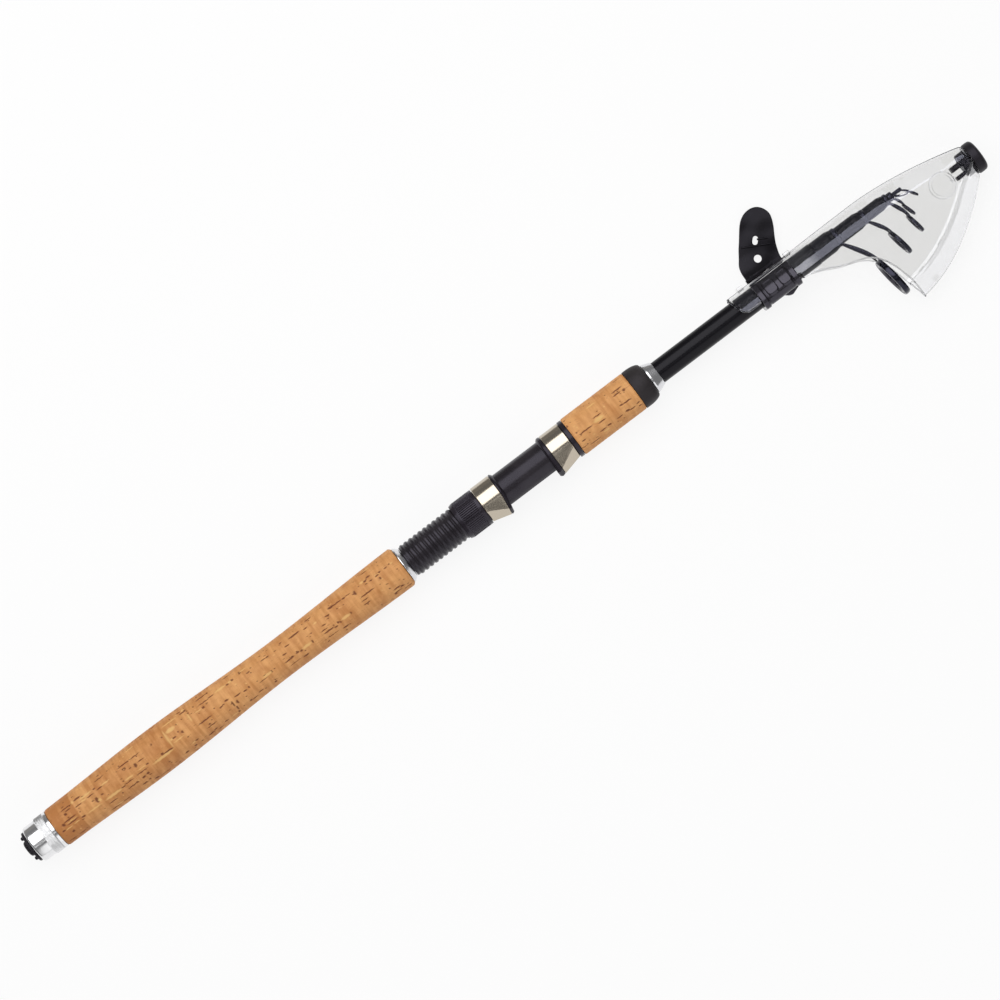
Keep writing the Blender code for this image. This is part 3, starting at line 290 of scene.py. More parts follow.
def make_room():
    """The world: white behind the scene, and a dim room to everything that it lights.

    A ray that went through clear plastic sees it white too, also after it ran along inside the
    plastic's wall, but not when it was reflected just once.
    """
    world = bpy.data.worlds.new("room")
    world.use_nodes = True
    nodes, links = world.node_tree.nodes, world.node_tree.links
    nodes.clear()
    rays = nodes.new("ShaderNodeLightPath")

    def worked(operation, *inputs):
        """A Math node over numbers and sockets."""
        made = nodes.new("ShaderNodeMath")
        made.operation = operation
        for place, value in zip(made.inputs, inputs):
            if isinstance(value, float):
                place.default_value = value
            else:
                links.new(value, place)
        return made.outputs[0]

    kinds = ("Diffuse Depth", "Glossy Depth", "Transmission Depth")
    diffuse, gloss, clear = (rays.outputs[kind] for kind in kinds)
    in_wall = worked("MULTIPLY", worked("GREATER_THAN", clear, 0.5), worked("GREATER_THAN", gloss, 1.5))
    unlit = worked("MAXIMUM", worked("LESS_THAN", gloss, 0.5), in_wall)
    seen = worked("MULTIPLY", worked("LESS_THAN", diffuse, 0.5), unlit)
    level = nodes.new("ShaderNodeMapRange")
    level.inputs["To Min"].default_value = ROOM_LEVEL
    links.new(seen, level.inputs["Value"])
    background = nodes.new("ShaderNodeBackground")
    links.new(level.outputs[0], background.inputs["Strength"])
    output = nodes.new("ShaderNodeOutputWorld")
    links.new(background.outputs[0], output.inputs["Surface"])
    bpy.context.scene.world = world


make_paper()
make_black_card()
make_room()
for lamp in LAMPS:
    make_lamp(*lamp)
print("floor at", FLOOR_HEIGHT * 1000, "mm,", len(LAMPS), "lamps")

# %% [markdown]
# ## Shapes as functions on a grid
#
# Nearly every piece of a rod is turned on a lathe or carried along a line, so its surface is a
# grid: rows along it and columns round it. numpy works out the whole grid at once, and one helper
# joins neighbouring points with faces, closes the ends that shrink to a point, and turns the faces
# outwards by the sign of the enclosed volume.


# %% Mesh tools
def skin(rows, loop=False):
    """Faces over a grid of points, rows by columns by three, whose columns run in a ring.

    loop joins the last row to the first. Without it, a first or last row whose points all coincide
    becomes one point with triangles round it.
    """
    count, columns = rows.shape[:2]
    index = np.arange(count * columns).reshape(count, columns)
    poles = []
    for end in () if loop else (0, -1):
        if np.ptp(rows[end], axis=0).max() < 1e-9:
            index[end] = index[end, 0]
            poles.append(end)
    near = index if loop else index[:-1]
    far = np.roll(index, -1, axis=0) if loop else index[1:]
    quads = np.stack([near, np.roll(near, -1, axis=1), np.roll(far, -1, axis=1), far], axis=-1)
    triangles = []
    if -1 in poles:
        triangles.append(quads[-1][:, [0, 1, 2]])
        quads = quads[:-1]
    if 0 in poles:
        triangles.append(quads[0][:, [0, 2, 3]])
        quads = quads[1:]
    triangles = np.concatenate(triangles) if triangles else np.empty((0, 3), int)
    return rows.reshape(-1, 3), quads.reshape(-1, 4), triangles


def capped(rows):
    """Rows with one more at each end, in which all points lie at the middle of the row beside it."""
    ends = [np.repeat(rows[i].mean(axis=0)[None, None], rows.shape[1], axis=1) for i in (0, -1)]
    return np.concatenate([ends[0], rows, ends[1]])


def outward(points, quads, triangles):
    """Turns the faces round if the volume that they enclose comes out negative."""
    corners = np.concatenate([quads[:, [0, 1, 2]], quads[:, [0, 2, 3]], triangles])
    a, b, c = (points[corners[:, i]] for i in range(3))
    if np.einsum("ij,ij->i", a, np.cross(b, c)).sum() < 0:
        return points, quads[:, ::-1], triangles[:, ::-1]
    return points, quads, triangles


def mesh_of(name, shells, attributes=None, crease=40.0):
    """One mesh from closed shells, smooth except across creases sharper than an angle."""
    points, faces, kept, start, passed = [], [], [], 0, 0
    for shell in shells:
        corners, quads, triangles = outward(*shell)
        used = np.unique(np.concatenate([quads.ravel(), triangles.ravel()]))
        lookup = np.full(len(corners), -1)
        lookup[used] = np.arange(len(used)) + start
        points.append(corners[used])
        faces += lookup[quads].tolist() + lookup[triangles].tolist()
        kept.append(used + passed)
        start += len(used)
        passed += len(corners)
    mesh = bpy.data.meshes.new(name)
    mesh.from_pydata(np.concatenate(points).tolist(), [], faces)
    for key, values in (attributes or {}).items():
        layer = mesh.attributes.new(key, "FLOAT", "POINT")
        layer.data.foreach_set("value", values[np.concatenate(kept)].astype(np.float32))
    mesh.shade_smooth()
    mesh.set_sharp_from_angle(angle=math.radians(crease))
    return mesh


def finished(made, finish, body, stands_for=()):
    """Gives a piece its material, the body that it rides on and the CAD nodes that it replaces."""
    finish.on(made)
    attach(made, body)
    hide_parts(*stands_for)
    triangles = sum(len(polygon.vertices) - 2 for polygon in made.data.polygons)
    print(f"{made.name}: {triangles} triangles on {body}")
    return made


def piece(name, shells, finish, body, stands_for=None, attributes=None, crease=40.0):
    """A piece made of closed shells, which stands for the CAD node of its name unless told otherwise."""
    made = linked(name + "_fine", mesh_of(name, shells, attributes, crease))
    return finished(made, finish, body, (name,) if stands_for is None else stands_for)


def around(x, radius, angle, height=0.0):
    """Points at a radius round the rod's line: y = height - radius sin(angle), z = radius cos(angle).

    The angle is 0 at the top, facing the camera, and grows towards the guides.
    """
    x, radius, angle = np.broadcast_arrays(x, radius, angle)
    return np.stack([x, height - radius * np.sin(angle), radius * np.cos(angle)], axis=-1)


def turns(count):
    """Even angles round the rod, one row of them."""
    return np.linspace(0.0, math.tau, count, endpoint=False)[None, :]


def eased(low, high, x):
    """0 below low, 1 above high, and the smooth cubic 3t^2 - 2t^3 between them."""
    share = np.clip((x - low) / (high - low), 0.0, 1.0)
    return share * share * (3 - 2 * share)


def softened(line, size=0.25 * MM, steps=4, closed=True):
    """A line of points with each corner replaced by a small parabola that starts size before it.

    A point is kept just outside each parabola, so that smooth shading doesn't spread over the flats.
    """
    line = np.asarray(line, float)
    made = []
    last = len(line) - 1
    for i, corner in enumerate(line):
        if not closed and i in (0, last):
            made.append(corner[None])
            continue
        before, after = line[i - 1] - corner, line[(i + 1) % len(line)] - corner
        far_before, far_after = np.linalg.norm(before), np.linalg.norm(after)
        reach = min(size, 0.4 * far_before, 0.4 * far_after)
        start, end = before / far_before * reach, after / far_after * reach
        t = np.linspace(0.0, 1.0, steps)[:, None]
        arc = corner + start * (1 - t) ** 2 + end * t**2
        made += [(corner + 1.15 * start)[None], arc, (corner + 1.15 * end)[None]]
    return np.concatenate(made)


def turned(outer, bore=None, columns=96, size=0.25 * MM, steps=4, height=0.0):
    """A lathe shape from (x, radius) corners in millimetres, with softened corners.

    The outer line runs from butt to tip. A bore, as corners or as one radius for the whole length,
    closes the profile into a loop; without one the profile ends on the axis at both ends.
    """
    outer = np.asarray(outer, float) * MM
    if isinstance(bore, float):
        bore = [(outer[0, 0] / MM, bore), (outer[-1, 0] / MM, bore)]
    if bore is None:
        ends = np.array([[outer[0, 0], 0.0]]), np.array([[outer[-1, 0], 0.0]])
        line = softened(np.concatenate([ends[0], outer, ends[1]]), size, steps, closed=False)
    else:
        line = softened(np.concatenate([outer, np.asarray(bore, float)[::-1] * MM]), size, steps)
    rows = around(line[:, :1], line[:, 1:], turns(columns), height * MM)
    return skin(rows, loop=bore is not None)


def span(node):
    """A CAD node's first and last X and its radius at its top, in millimetres."""
    low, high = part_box(node)
    return low.x / MM, high.x / MM, high.z / MM


# %% [markdown]
# ## Where the photograph shows a mark
#
# Some marks, such as the dark streaks in the cork, are easiest to read off along the rod: how far
# along it and how far to its side. The lens looks down from one point, so what lies nearer to it
# is spread outwards from the spot under the lens. This undoes that spread at a known height.

# %% From marks along the rod to places on it
UNIT = 0.6  # millimetres to one step of the marks
START = 10.5  # steps from the butt's end to the marks' zero


def mark_place(along, aside, radius):
    """(x in metres, angle) on a cylinder about the rod for a mark's steps along and aside.

    The place is the mark's, drawn towards the point under the lens by the surface's height over
    the lens's distance.
    """
    aside = aside * UNIT
    height = np.sqrt(np.maximum(radius**2 - aside**2, 0.0))
    share = 1.0 - height / (EYE.z / MM)
    under = EYE.x / MM
    x = under + ((along + START) * UNIT - under) * share
    return x * MM, np.arcsin(np.clip(aside * share / radius, -1.0, 1.0))


def srgb(red, green, blue):
    """A colour as it reads on a screen, 0 to 255, as the linear shares that a shader takes."""
    shares = (np.array([red, green, blue]) / 255 + 0.055) / 1.055
    return tuple(float(share) for share in shares**2.4)


# %% [markdown]
# ## Finishes for the metal, plastic and rubber
#
# Polished metal takes its look from what it mirrors, so its colour is pale, and fine turning marks
# round the axis soften its highlights. Moulded plastic and rubber are dark all through: a fine
# grain in the bump and a slow change of roughness keep them from looking like flat paint.

# %% Metal, plastic and rubber


def turned_metal(name, color, roughness, marks=0.000004):
    """Metal with fine lines round the rod's axis, from noise that is stretched along them."""
    finish = Finish(name, Base_Color=color, Metallic=1.0)
    lines = finish.noise(1.0, 3.0, (5200.0, 160.0, 160.0))
    smears = finish.noise(90.0, 3.0)
    finish.set(Roughness=lines * 0.08 + smears * 0.10 + (roughness - 0.09))
    finish.bump(lines, marks)
    return finish


def moulded(name, color, roughness, grain=900.0, depth=0.00003, specular=0.5, waves=0.0):
    """Plastic or rubber with a fine grain, scuffed a little smoother in places.

    waves, in metres, is the depth of the slow hollows of a soft sheet.
    """
    finish = Finish(name, Specular_IOR_Level=specular, Specular_Tint=(0.86, 0.82, 1.0))
    grains = finish.noise(grain, 3.0)
    scuffs = finish.noise(55.0, 3.0)
    pale = tuple(1.9 * share + 0.004 for share in color)
    finish.set(Base_Color=finish.mix(scuffs.ramp(0.35, 0.75), color, pale))
    finish.set(Roughness=scuffs * -0.2 + grains * 0.1 + (roughness + 0.05))
    whole = depth + waves
    hollows = grains * (depth / whole) + finish.noise(38.0, 1.0) * (waves / whole)
    finish.bump(hollows, whole)
    return finish


ALUMINIUM = turned_metal("polished aluminium", (0.80, 0.80, 0.81), 0.19)
NICKEL = turned_metal("plated hood", (0.52, 0.46, 0.375), 0.16, 0.000002)
CHECK_METAL = turned_metal("winding check metal", (0.72, 0.72, 0.74), 0.2)
SEAT_PLASTIC = moulded("reel seat plastic", srgb(34, 31, 34), 0.25, 1400.0, 0.000008, 0.3)
NUT_PLASTIC = moulded("lock nut plastic", srgb(29, 25, 30), 0.24, 1400.0, 0.000006, 0.3)
PAD_RUBBER = moulded("butt pad rubber", srgb(26, 23, 26), 0.5, specular=0.22)
FOAM_RUBBER = moulded("grip ring rubber", srgb(40, 37, 37), 0.5, specular=0.15)
STRAP_RUBBER = moulded("strap rubber", srgb(21, 20, 22), 0.2, 1200.0, 0.00001, 0.6)
TONGUE_RUBBER = moulded("tongue rubber", srgb(11, 10, 11), 0.3, 1200.0, 0.00001, 0.16, 0.006)
PLUG_RUBBER = moulded("plug rubber", srgb(26, 24, 27), 0.4, specular=0.2)
GUIDE_METAL = turned_metal("dark guide frame", srgb(48, 48, 58), 0.2, 0.000002)
CERAMIC = moulded("ceramic ring", srgb(26, 25, 32), 0.14, 1500.0, 0.000001)
print(len(bpy.data.materials), "materials so far")

# %% [markdown]
# ## The butt pad and cap
#
# The pad is a rubber plug with a low dome and eight bumps round it, for the rod to be stood on. The
# cap over it is turned from aluminium, and its grip band is a real diamond knurl: two sets of
# slanting grooves, and so at each place the lower of two zigzag waves.

# %% Butt pad and cap
BUTT_RADIUS = span("butt_section")[2]
BLANK_BORE = BUTT_RADIUS + 0.3
CAP_START, CAP_END, KNURL_RADIUS = span("butt_cap")
_, PAD_END, PAD_RADIUS = span("butt_pad")
CAP_RADIUS = KNURL_RADIUS - 0.7


def bump_shell(x, y, z, radius, length):
    """A small rounded bump that stands out towards -X from a face at x."""
    t = np.linspace(0.0, math.pi / 2, 6)
    along = x + 0.5 - (length + 0.5) * np.sin(t) ** 0.7
    reach = radius * np.cos(t) ** 0.6
    reach[-1] = 0.0
    line = np.stack([np.append(along[0], along), np.append(0.0, reach)], axis=1) * MM
    points = around(line[:, :1], line[:, 1:], turns(18))
    return skin(points + np.array([0.0, y * MM, z * MM]))


def make_butt_pad():
    """Flange, dome and stem in one profile, and eight bumps midway between dome and rim."""
    rise = 2.6
    outer = [(0.0, 3.0), (0.0, 3.6), (0.35, 4.6), (1.3, 5.1), (rise, 5.2), (rise, PAD_RADIUS - 0.5)]
    outer += [(rise + 0.4, PAD_RADIUS), (4.2, PAD_RADIUS), (4.2, 3.0), (PAD_END, 3.0)]
    shells = [turned(outer, columns=120, size=0.6)]
    circle = (5.1 + PAD_RADIUS) / 2
    for i in range(8):
        a = math.tau * (i + 0.5) / 8
        shells.append(bump_shell(rise, circle * math.cos(a), circle * math.sin(a), 1.3, 1.7))
    piece("butt_pad", shells, PAD_RUBBER, "cap")


def zigzag(phase):
    """0 at whole numbers and 1 midway between them, with straight sides."""
    return 1 - 2 * np.abs(phase - np.floor(phase) - 0.5)


def make_butt_cap():
    """A lathe grid whose band between the rims carries the knurl's pyramids, 1 mm across."""
    teeth, depth, columns = 80, 0.32, 480
    knurl_start, knurl_end = CAP_START + 9.3, CAP_START + 15.0
    rear = [(CAP_START, 3.3), (CAP_START, CAP_RADIUS - 1.5), (CAP_START + 0.25, CAP_RADIUS - 0.6),
            (CAP_START + 0.9, CAP_RADIUS - 0.12), (CAP_START + 1.6, CAP_RADIUS)]
    rear = softened(np.array(rear) * MM, 0.3 * MM, closed=False)
    band = np.array([(x, KNURL_RADIUS - depth) for x in np.linspace(knurl_start, knurl_end, 54)]) * MM
    rim = [(knurl_end + 0.05, KNURL_RADIUS - 0.5), (knurl_end + 0.3, KNURL_RADIUS), (CAP_END, KNURL_RADIUS),
           (CAP_END, 9.9), (CAP_START + 1.5, 9.9), (CAP_START + 1.5, 3.3)]
    rim = softened(np.array(rim) * MM, 0.25 * MM, closed=False)
    groove = np.array([(knurl_start - 0.5, CAP_RADIUS), (knurl_start - 0.3, CAP_RADIUS - 0.25),
                       (knurl_start - 0.1, CAP_RADIUS - 0.25)]) * MM
    line = np.concatenate([rear, groove, band, rim])
    x, radius = line[:, :1], np.broadcast_to(line[:, 1:], (len(line), columns)).copy()
    knurl = slice(len(rear) + len(groove), len(rear) + len(groove) + len(band))
    angle = turns(columns)
    across = x[knurl] / MM / (math.tau * KNURL_RADIUS / teeth)
    along = teeth * angle / math.tau
    radius[knurl] += np.minimum(zigzag(along + across), zigzag(along - across)) * depth * MM
    return skin(around(x, radius, angle), loop=True)


make_butt_pad()
piece("butt_cap", [make_butt_cap()], ALUMINIUM, "cap", crease=50.0)
PAD_RUBBER.on(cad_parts["cap_cushion"])
CHECK_METAL.on(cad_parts["butt_ferrule"])

# %% [markdown]
# ## Cork
#
# A cork grip is glued up from rings and turned. Its face shows pits where the bark's pores were cut
# open: short dark slots, some filled with pale putty. The pits are pressed into the grid, and the
# same shapes are stored as attributes, so that the colour sits exactly on the dents. The marks that
# the photograph shows are listed, and seeded ones fill the sides that it doesn't show.

# %% Cork
CORK_DARK = [
    # along, aside, half length and half width in mm of the dark slots
    (45, -10.6, 5, .3), (45.5, -7.8, 2.2, .4), (41, -5.5, .9, 1), (42, .8, 5.4, .45),
    (33, 2, 1, 1.1), (43, 4.8, 5, .35), (30, 7.3, 1.4, .5), (38, 13, 1, .9), (33, 19, 3.5, .5),
    (45, 19, 2.5, .5), (59.5, -11.4, 2.8, .7), (65, -9.2, .9, .7), (57, -5, 2.8, .35),
    (72, -5.4, 3, .3), (79, -8.5, 1, .5), (54.5, 7.2, 1.6, .7), (75.2, 2.2, 1.3, 2),
    (89, -13.5, 4, .35), (84, -5.8, 2.5, .35), (88, 12.5, 3.6, .4), (86, 18.7, 3.5, .45),
    (100, 18.5, 3, .35), (104, 7.3, 1.8, .45), (117, -9.8, 5, .35), (131, -9.7, 4.5, .3),
    (115.3, -6, 1.2, .9), (126.5, -2.2, 1, 1.5), (134, -3.2, 2.6, .3), (137, 3.4, 1.2, .45),
    (112, 6.5, 4, .3), (128, 6.3, 5, .3), (112, 11.7, 3.8, .4), (118, 11.5, 1.1, .7),
    (126.5, 11.3, 1.4, .7), (132, 10.6, 1.2, .8), (124, 16.5, 2, .6), (130.5, 16, .8, .6),
    (137, 19, 1.4, .9), (161, 5.6, 4.4, .55), (155, 4.3, 1, .8), (146, -21, 2.5, .5),
    (162, -20.6, 2.5, .5), (147, 19.6, 4, .3), (195, -15.4, 2.4, .5), (198.5, -15.7, 1, .7),
    (192, -17.5, 2, .4), (174, -1, 1.6, .5), (184, -.8, .7, 1), (191, 13.7, 1.2, .5),
    (176, 17.2, 1.6, .5), (187, 17.2, .9, .8), (195, 17.4, .9, .5), (186, 21, 1.8, .5),
    (209, 3.7, 5.8, .45), (215.3, -7.6, .8, .9), (219, -16.8, 4.6, .45), (226.5, -17, .9, .8),
    (219, -11.5, 5, .3), (212, 11.4, 4, .35), (210.5, 9.3, .6, .8), (207, 17.6, 2.8, .6),
    (212.5, 16.7, 1.2, .6), (218, 18.8, 2, .5), (226, 17.2, 1.6, .5), (228, -12, 2.5, .35),
    (238, .8, 1.5, .7), (230, 3, 1.6, .5), (241, 8, .6, 2.4), (242.5, 14, .6, 2), (246, 9, .7, 1.7),
    (242, 17.8, .8, 1.2), (250, 3.4, 2.6, .5), (248, -11.8, 1.1, .6), (254.5, -12.8, .8, 1),
    (258.8, 4.7, 1.3, .6), (264, 4.2, .7, .8), (258, 16.5, .9, .9), (263, 17, 2.5, .45),
    (264.6, -14.3, .8, 1.3), (251, -19, 2.4, .5), (271.5, 15.2, 2, .5), (291.6, 5.5, .4, 1.1),
    (280, 7.6, 3.6, .25), (272, -9.2, 1.6, .4), (289, 17, .8, 1), (292, -10.6, 2.4, .35),
    (296.5, -10.3, 1.2, .5), (313, 7.2, 4.2, .5), (316.5, 6.6, 1.2, .8), (323.5, 6.2, 1.2, .8),
    (312, -1, 1.7, .5), (319, -7, 2, .45), (316, 13.4, 5, .25), (331, -11.7, 4.6, .75),
    (344, -10, 1.6, .45), (328, 7.2, .9, .7), (342.2, 6.3, .4, 1.2), (329, 14.3, 2.4, .7),
    (362, 7.6, 4.2, .6), (370, 8.8, 1.2, .6), (361, -.6, 1.8, .4), (359, 4, 3, .25),
    (369, -6.5, 2, .45), (351, -16, 3, .45), (363, 13.5, 5, .25), (377, -11.2, 2.4, .9),
    (384, -10.8, 4, .5), (392.5, -10.3, 1.3, .7), (398, -10.5, 2, .3), (374, 6.5, .9, .9),
    (376.5, 7.6, .7, .7), (390.6, 6.5, .4, 1.2), (378, 14.8, 2.4, .7), (405, -7.5, .8, 1.8),
    (415, .2, 6, .45), (409, 4.2, 3, .3), (409, 8.3, 2.8, .45), (420, -10.6, 1, .7),
    (425, -12.4, 1.8, .6), (425.5, -7.8, 1, .5), (424, -18.2, 2.4, .45), (433, -7.8, 1.5, .45),
    (437, -9.3, .9, .6), (444.5, -8.8, 1.2, .45), (434, -4, .6, 1), (442, 13.8, 3.2, .45),
    (441, 17, 3.5, .35), (447.5, 15.5, 1.6, .5), (438, 17.5, 1, 1.2), (452, 18.8, 3.4, .45),
    (675.5, -18.2, 1, .6), (674.5, -12, .7, .9), (687.5, 2.3, 5.8, .45), (680, 9.3, 1.6, .5),
    (689, 16.9, 4.4, .35), (676, 15, 3, .3), (705, -2.5, 3.6, .35), (706, 4.9, 3.2, .4),
    (702, 12.6, 2.8, .45), (710, 12.3, 1.6, .7), (723, 12.4, 2.6, .45), (736, -11.4, 4.4, .5),
    (734, -8, 3.2, .45), (742, -7.2, 1, 1.1), (731, 3.6, 1.2, .6), (738, 4.2, 3.6, .5),
    (733, 12, 1.6, .9), (738, 13.2, 2.6, .45), (746, 12, 1.4, .45), (746, 15.5, 1.2, .5),
    (741, -19.5, 3, .4),
]
CORK_PALE = [
    # the same for the pale putty and the pale wood between rings
    (43, 3, 4.4, .3), (36, 7.8, 3, .4), (46, 7.5, 2.8, .35), (53.5, -11, 1, 1.2),
    (68, -8.7, 5.6, .7), (64, -5.9, 2.5, .55), (68, 7.3, 6, .5), (77.3, 3.4, 1.3, 1.2),
    (92, -6.6, 3.6, .5), (92, 7.5, 7.2, .95), (92, 17.9, 2.8, .5), (115.3, -6, .6, .4),
    (114, 3.5, 3.6, .55), (130, 3.2, 3.5, .3), (131, -17.6, 3.8, .5), (154, 6.9, 8.8, .9),
    (168, -4, .9, 6.5), (179, -15.3, 6.4, .5), (175.5, -9, 3.8, 1.5), (196.5, -17, 1, .8),
    (171, -1, 1.2, .6), (177, 2.8, 4.6, .35), (187, 13.8, 1.6, .45), (198, -8, .6, 3.6),
    (209, -7.6, 3, .35), (237, 17.5, 3, .45), (240, -12.5, 4.8, .7), (251.3, -12.7, 1.4, .8),
    (268.5, -14.7, 3.2, .45), (286.5, 5.5, 3.9, .95), (335, 6.3, 4, 1.1), (355, -8, 1.4, .6),
    (383.5, 6.5, 3.8, 1.1), (416.5, -11.7, 1.8, .8), (428, -19, 2.6, .4), (452, -9, .9, .6),
    (440, 15.6, 2.6, .4), (704.5, 1, 4.2, 1.4), (706, -14.6, 3.8, .55), (704.5, 14.8, 2.6, .6),
]
CORK_RINGS = [
    # along, where each ring starts, and its tone from -1, dark, to 1
    (26, -1.3), (52, .3), (80, -.4), (106, -.1), (139, -.7), (169, .1), (198, 0.0), (224, .2),
    (250, .1), (272, .3), (300, 0.0), (323, .1), (350, .4), (373, 0.0), (402, .1), (430, .3),
    (671, .5), (698, .8), (713, .1), (729, .5),
]


def cork_marks(start, end, radius, seed):
    """Rows of x, angle, half length, half width and kind: the listed marks and seeded small ones.

    The kind is -1 for a dark slot and 1 for pale putty.
    """
    marks = np.concatenate([np.insert(CORK_DARK, 4, -1.0, axis=1), np.insert(CORK_PALE, 4, 1.0, axis=1)])
    place, turn = mark_place(marks[:, 0], marks[:, 1], radius)
    listed = np.column_stack([place, turn, marks[:, 2:]])[(place / MM > start) & (place / MM < end)]
    pick = np.random.RandomState(seed)
    count = int((end - start) * 2.2)
    x = pick.uniform(start + 1, end - 1, count) * MM
    angle = pick.uniform(0.0, math.tau, count)
    hidden = np.cos(angle) < 0.1
    size = pick.uniform(0.15, 1.0, count) ** 2 * np.where(hidden, 1.0, 0.12)
    kind = np.where(pick.uniform(size=count) < 0.3, 1.0, -1.0)
    others = np.stack([x, angle, 0.35 + 3.6 * size, 0.2 + 0.3 * pick.uniform(size=count), kind], axis=1)
    return np.concatenate([others, listed])


def cork_grip(name, start, end, radius_at, ends, seed):
    """A grip's shell with its attributes: pit, putty, and each ring's own tone.

    radius_at gives the radius in millimetres at x. A mark's depth is 1 - distance, where distance is
    measured in its own half length and half width, squared and added.
    """
    columns = 264
    face = np.linspace(start, end, max(int((end - start) / 0.75), 64))
    shape = radius_at(face)
    rest = [(end, ends[1]), (end, BLANK_BORE), (start, BLANK_BORE)]
    line = np.concatenate([[(start, ends[0])], np.stack([face, shape], axis=1), rest])
    angle = turns(columns)
    x, radius = line[:, :1] * MM, np.broadcast_to(line[:, 1:] * MM, (len(line), columns)).copy()
    outer = np.zeros((len(line), 1))
    outer[2:-4] = 1.0
    pit, putty = np.zeros_like(radius), np.zeros_like(radius)
    middle = float(np.median(shape))
    for place, turn, half_length, half_width, kind in cork_marks(start, end, middle, seed):
        away = (angle - turn + math.pi) % math.tau - math.pi
        wobble = 0.1 * np.sin(x / MM * 1.9 + turn * 9)
        distance = ((x - place) / MM / half_length) ** 2 + ((away * middle + wobble) / half_width) ** 2
        depth = np.clip(1.5 * (1 - distance), 0.0, 1.0)
        pit = np.maximum(pit, depth) if kind < 0 else pit * (1 - depth)
        putty = putty * (1 - depth) if kind < 0 else np.maximum(putty, depth)
    rings = np.array(CORK_RINGS)
    joints = mark_place(rings[:, 0], 0.0, middle)[0] / MM
    ring = np.clip(np.searchsorted(joints, x[:, 0] / MM) - 1, 0, None)
    tone = rings[ring, 1][:, None] * np.ones_like(radius)
    joint = np.exp(-((np.abs(x / MM - joints[None, :]).min(axis=1, keepdims=True) / 0.4) ** 2))
    growth = np.sin(x / MM * 2.1 + 1.2 * np.sin(x / MM * 0.31)) * 0.015
    grain = np.random.RandomState(seed + 2).normal(0.0, 0.012, radius.shape)
    radius -= outer * (pit * 0.34 + joint * 0.05 - growth - grain) * MM
    # Both ends of the grip are also darkened along a thin line about 0.4 mm wide, carried in the pit
    # attribute.
    gap = np.minimum(x / MM - start, end - x / MM)
    pit = np.maximum(pit, np.exp(-((gap / 0.4) ** 2)))
    attributes = {"pit": (pit * outer).ravel(), "putty": (putty * outer).ravel(), "tone": tone.ravel()}
    shell = skin(around(x, radius, angle), loop=True)
    return piece(name, [shell], CORK, "rod_butt", attributes=attributes)


def make_cork():
    """Tan cork: growth stripes across the rod, mottling, darker pits and paler putty."""
    finish = Finish("cork", Specular_IOR_Level=0.28)
    stripes = finish.noise(1.0, 3.0, (380.0, 50.0, 50.0))
    mottle = finish.noise(220.0, 5.0)
    grain = finish.noise(2300.0, 3.0)
    lengthwise = finish.noise(1.0, 4.0, (260.0, 1500.0, 1500.0))
    tone = finish.attribute("tone")
    share = stripes.ramp(0.32, 0.68) * 0.62 + mottle.ramp(0.32, 0.68) * 0.42
    share = share + grain * 0.25 + tone * 0.4 - 0.15
    color = finish.mix(share.clamp(), srgb(188, 123, 67), srgb(226, 166, 104))
    flecks = lengthwise.ramp(0.60, 0.70) * mottle.ramp(0.35, 0.6)
    color = finish.mix(flecks * 0.55, color, srgb(150, 92, 54))
    color = finish.mix(finish.attribute("putty") * 0.8, color, srgb(234, 190, 120))
    pit = finish.attribute("pit")
    color = finish.mix((pit * 1.4).clamp() * 0.85, color, srgb(104, 56, 38))
    finish.set(Base_Color=color, Roughness=mottle * 0.2 + pit * 0.2 + 0.5)
    finish.bump(grain * 0.5 + lengthwise * 0.5, 0.00012, 0.6)
    return finish


CORK = make_cork()
REAR_START, REAR_END, _ = span("rear_grip_cork")
FORE_START, FORE_END, FORE_RADIUS = span("fore_grip_cork")


def rear_radius(x):
    """The metal's radius and a rise: 0.1, then a 1.5 swell for the palm, a -0.9 waist and 0.7."""
    rise = 0.1 + 1.4 * eased(0, 75, x - REAR_START) - 2.4 * eased(75, 170, x - REAR_START)
    rise = rise + 1.6 * eased(170, REAR_END - REAR_START, x - REAR_START)
    chamfer = np.clip(x - REAR_END + 1.4, 0.0, None) + np.clip(REAR_START + 0.4 - x, 0.0, None)
    return KNURL_RADIUS + rise - chamfer


def fore_radius(x):
    """A plain cylinder with its edges broken by 0.35."""
    edge = np.clip(0.35 - np.minimum(x - FORE_START, FORE_END - x), 0.0, None)
    return FORE_RADIUS - edge


cork_grip("rear_grip_cork", REAR_START, REAR_END, rear_radius, (KNURL_RADIUS - 1.0, 12.1), 11)
cork_grip("fore_grip_cork", FORE_START, FORE_END, fore_radius, (12.4, 12.4), 23)

# %% [markdown]
# ## Rings that close the grips
#
# Two bright metal cones meet the blank, and a soft rubber ring with a round shoulder closes the
# fore grip. Each is a short lathe profile whose corners are softened, because it is the thin bright
# line along an edge that tells the eye it is machined metal.

# %% Grip rings
for node, flat, front in (("rear_winding_check", 0.6, 9.7), ("front_winding_check", 1.0, 7.95)):
    start, end, radius = span(node)
    cone = turned([(start, radius), (start + flat, radius), (end, front)], BLANK_BORE)
    piece(node, [cone], CHECK_METAL, "rod_butt")

RING_START, RING_END, RING_RADIUS = span("fore_grip_end_ring")
shoulder = [(RING_START + 3.0 + 8.1 * math.sin(a), 10.3 + (RING_RADIUS - 10.3) * math.cos(a))
            for a in np.linspace(0.0, math.pi / 2, 14)]
bore = [(RING_START, BLANK_BORE), (RING_END, BLANK_BORE)]
end_ring = turned([(RING_START, RING_RADIUS)] + shoulder, bore, steps=3)
piece("fore_grip_end_ring", [end_ring], FOAM_RUBBER, "rod_butt")

start, end, radius = span("seat_trim_ring")
trim = turned([(start, radius), (end, radius)], 11.2)
piece("seat_trim_ring", [trim], NUT_PLASTIC, "rod_butt")

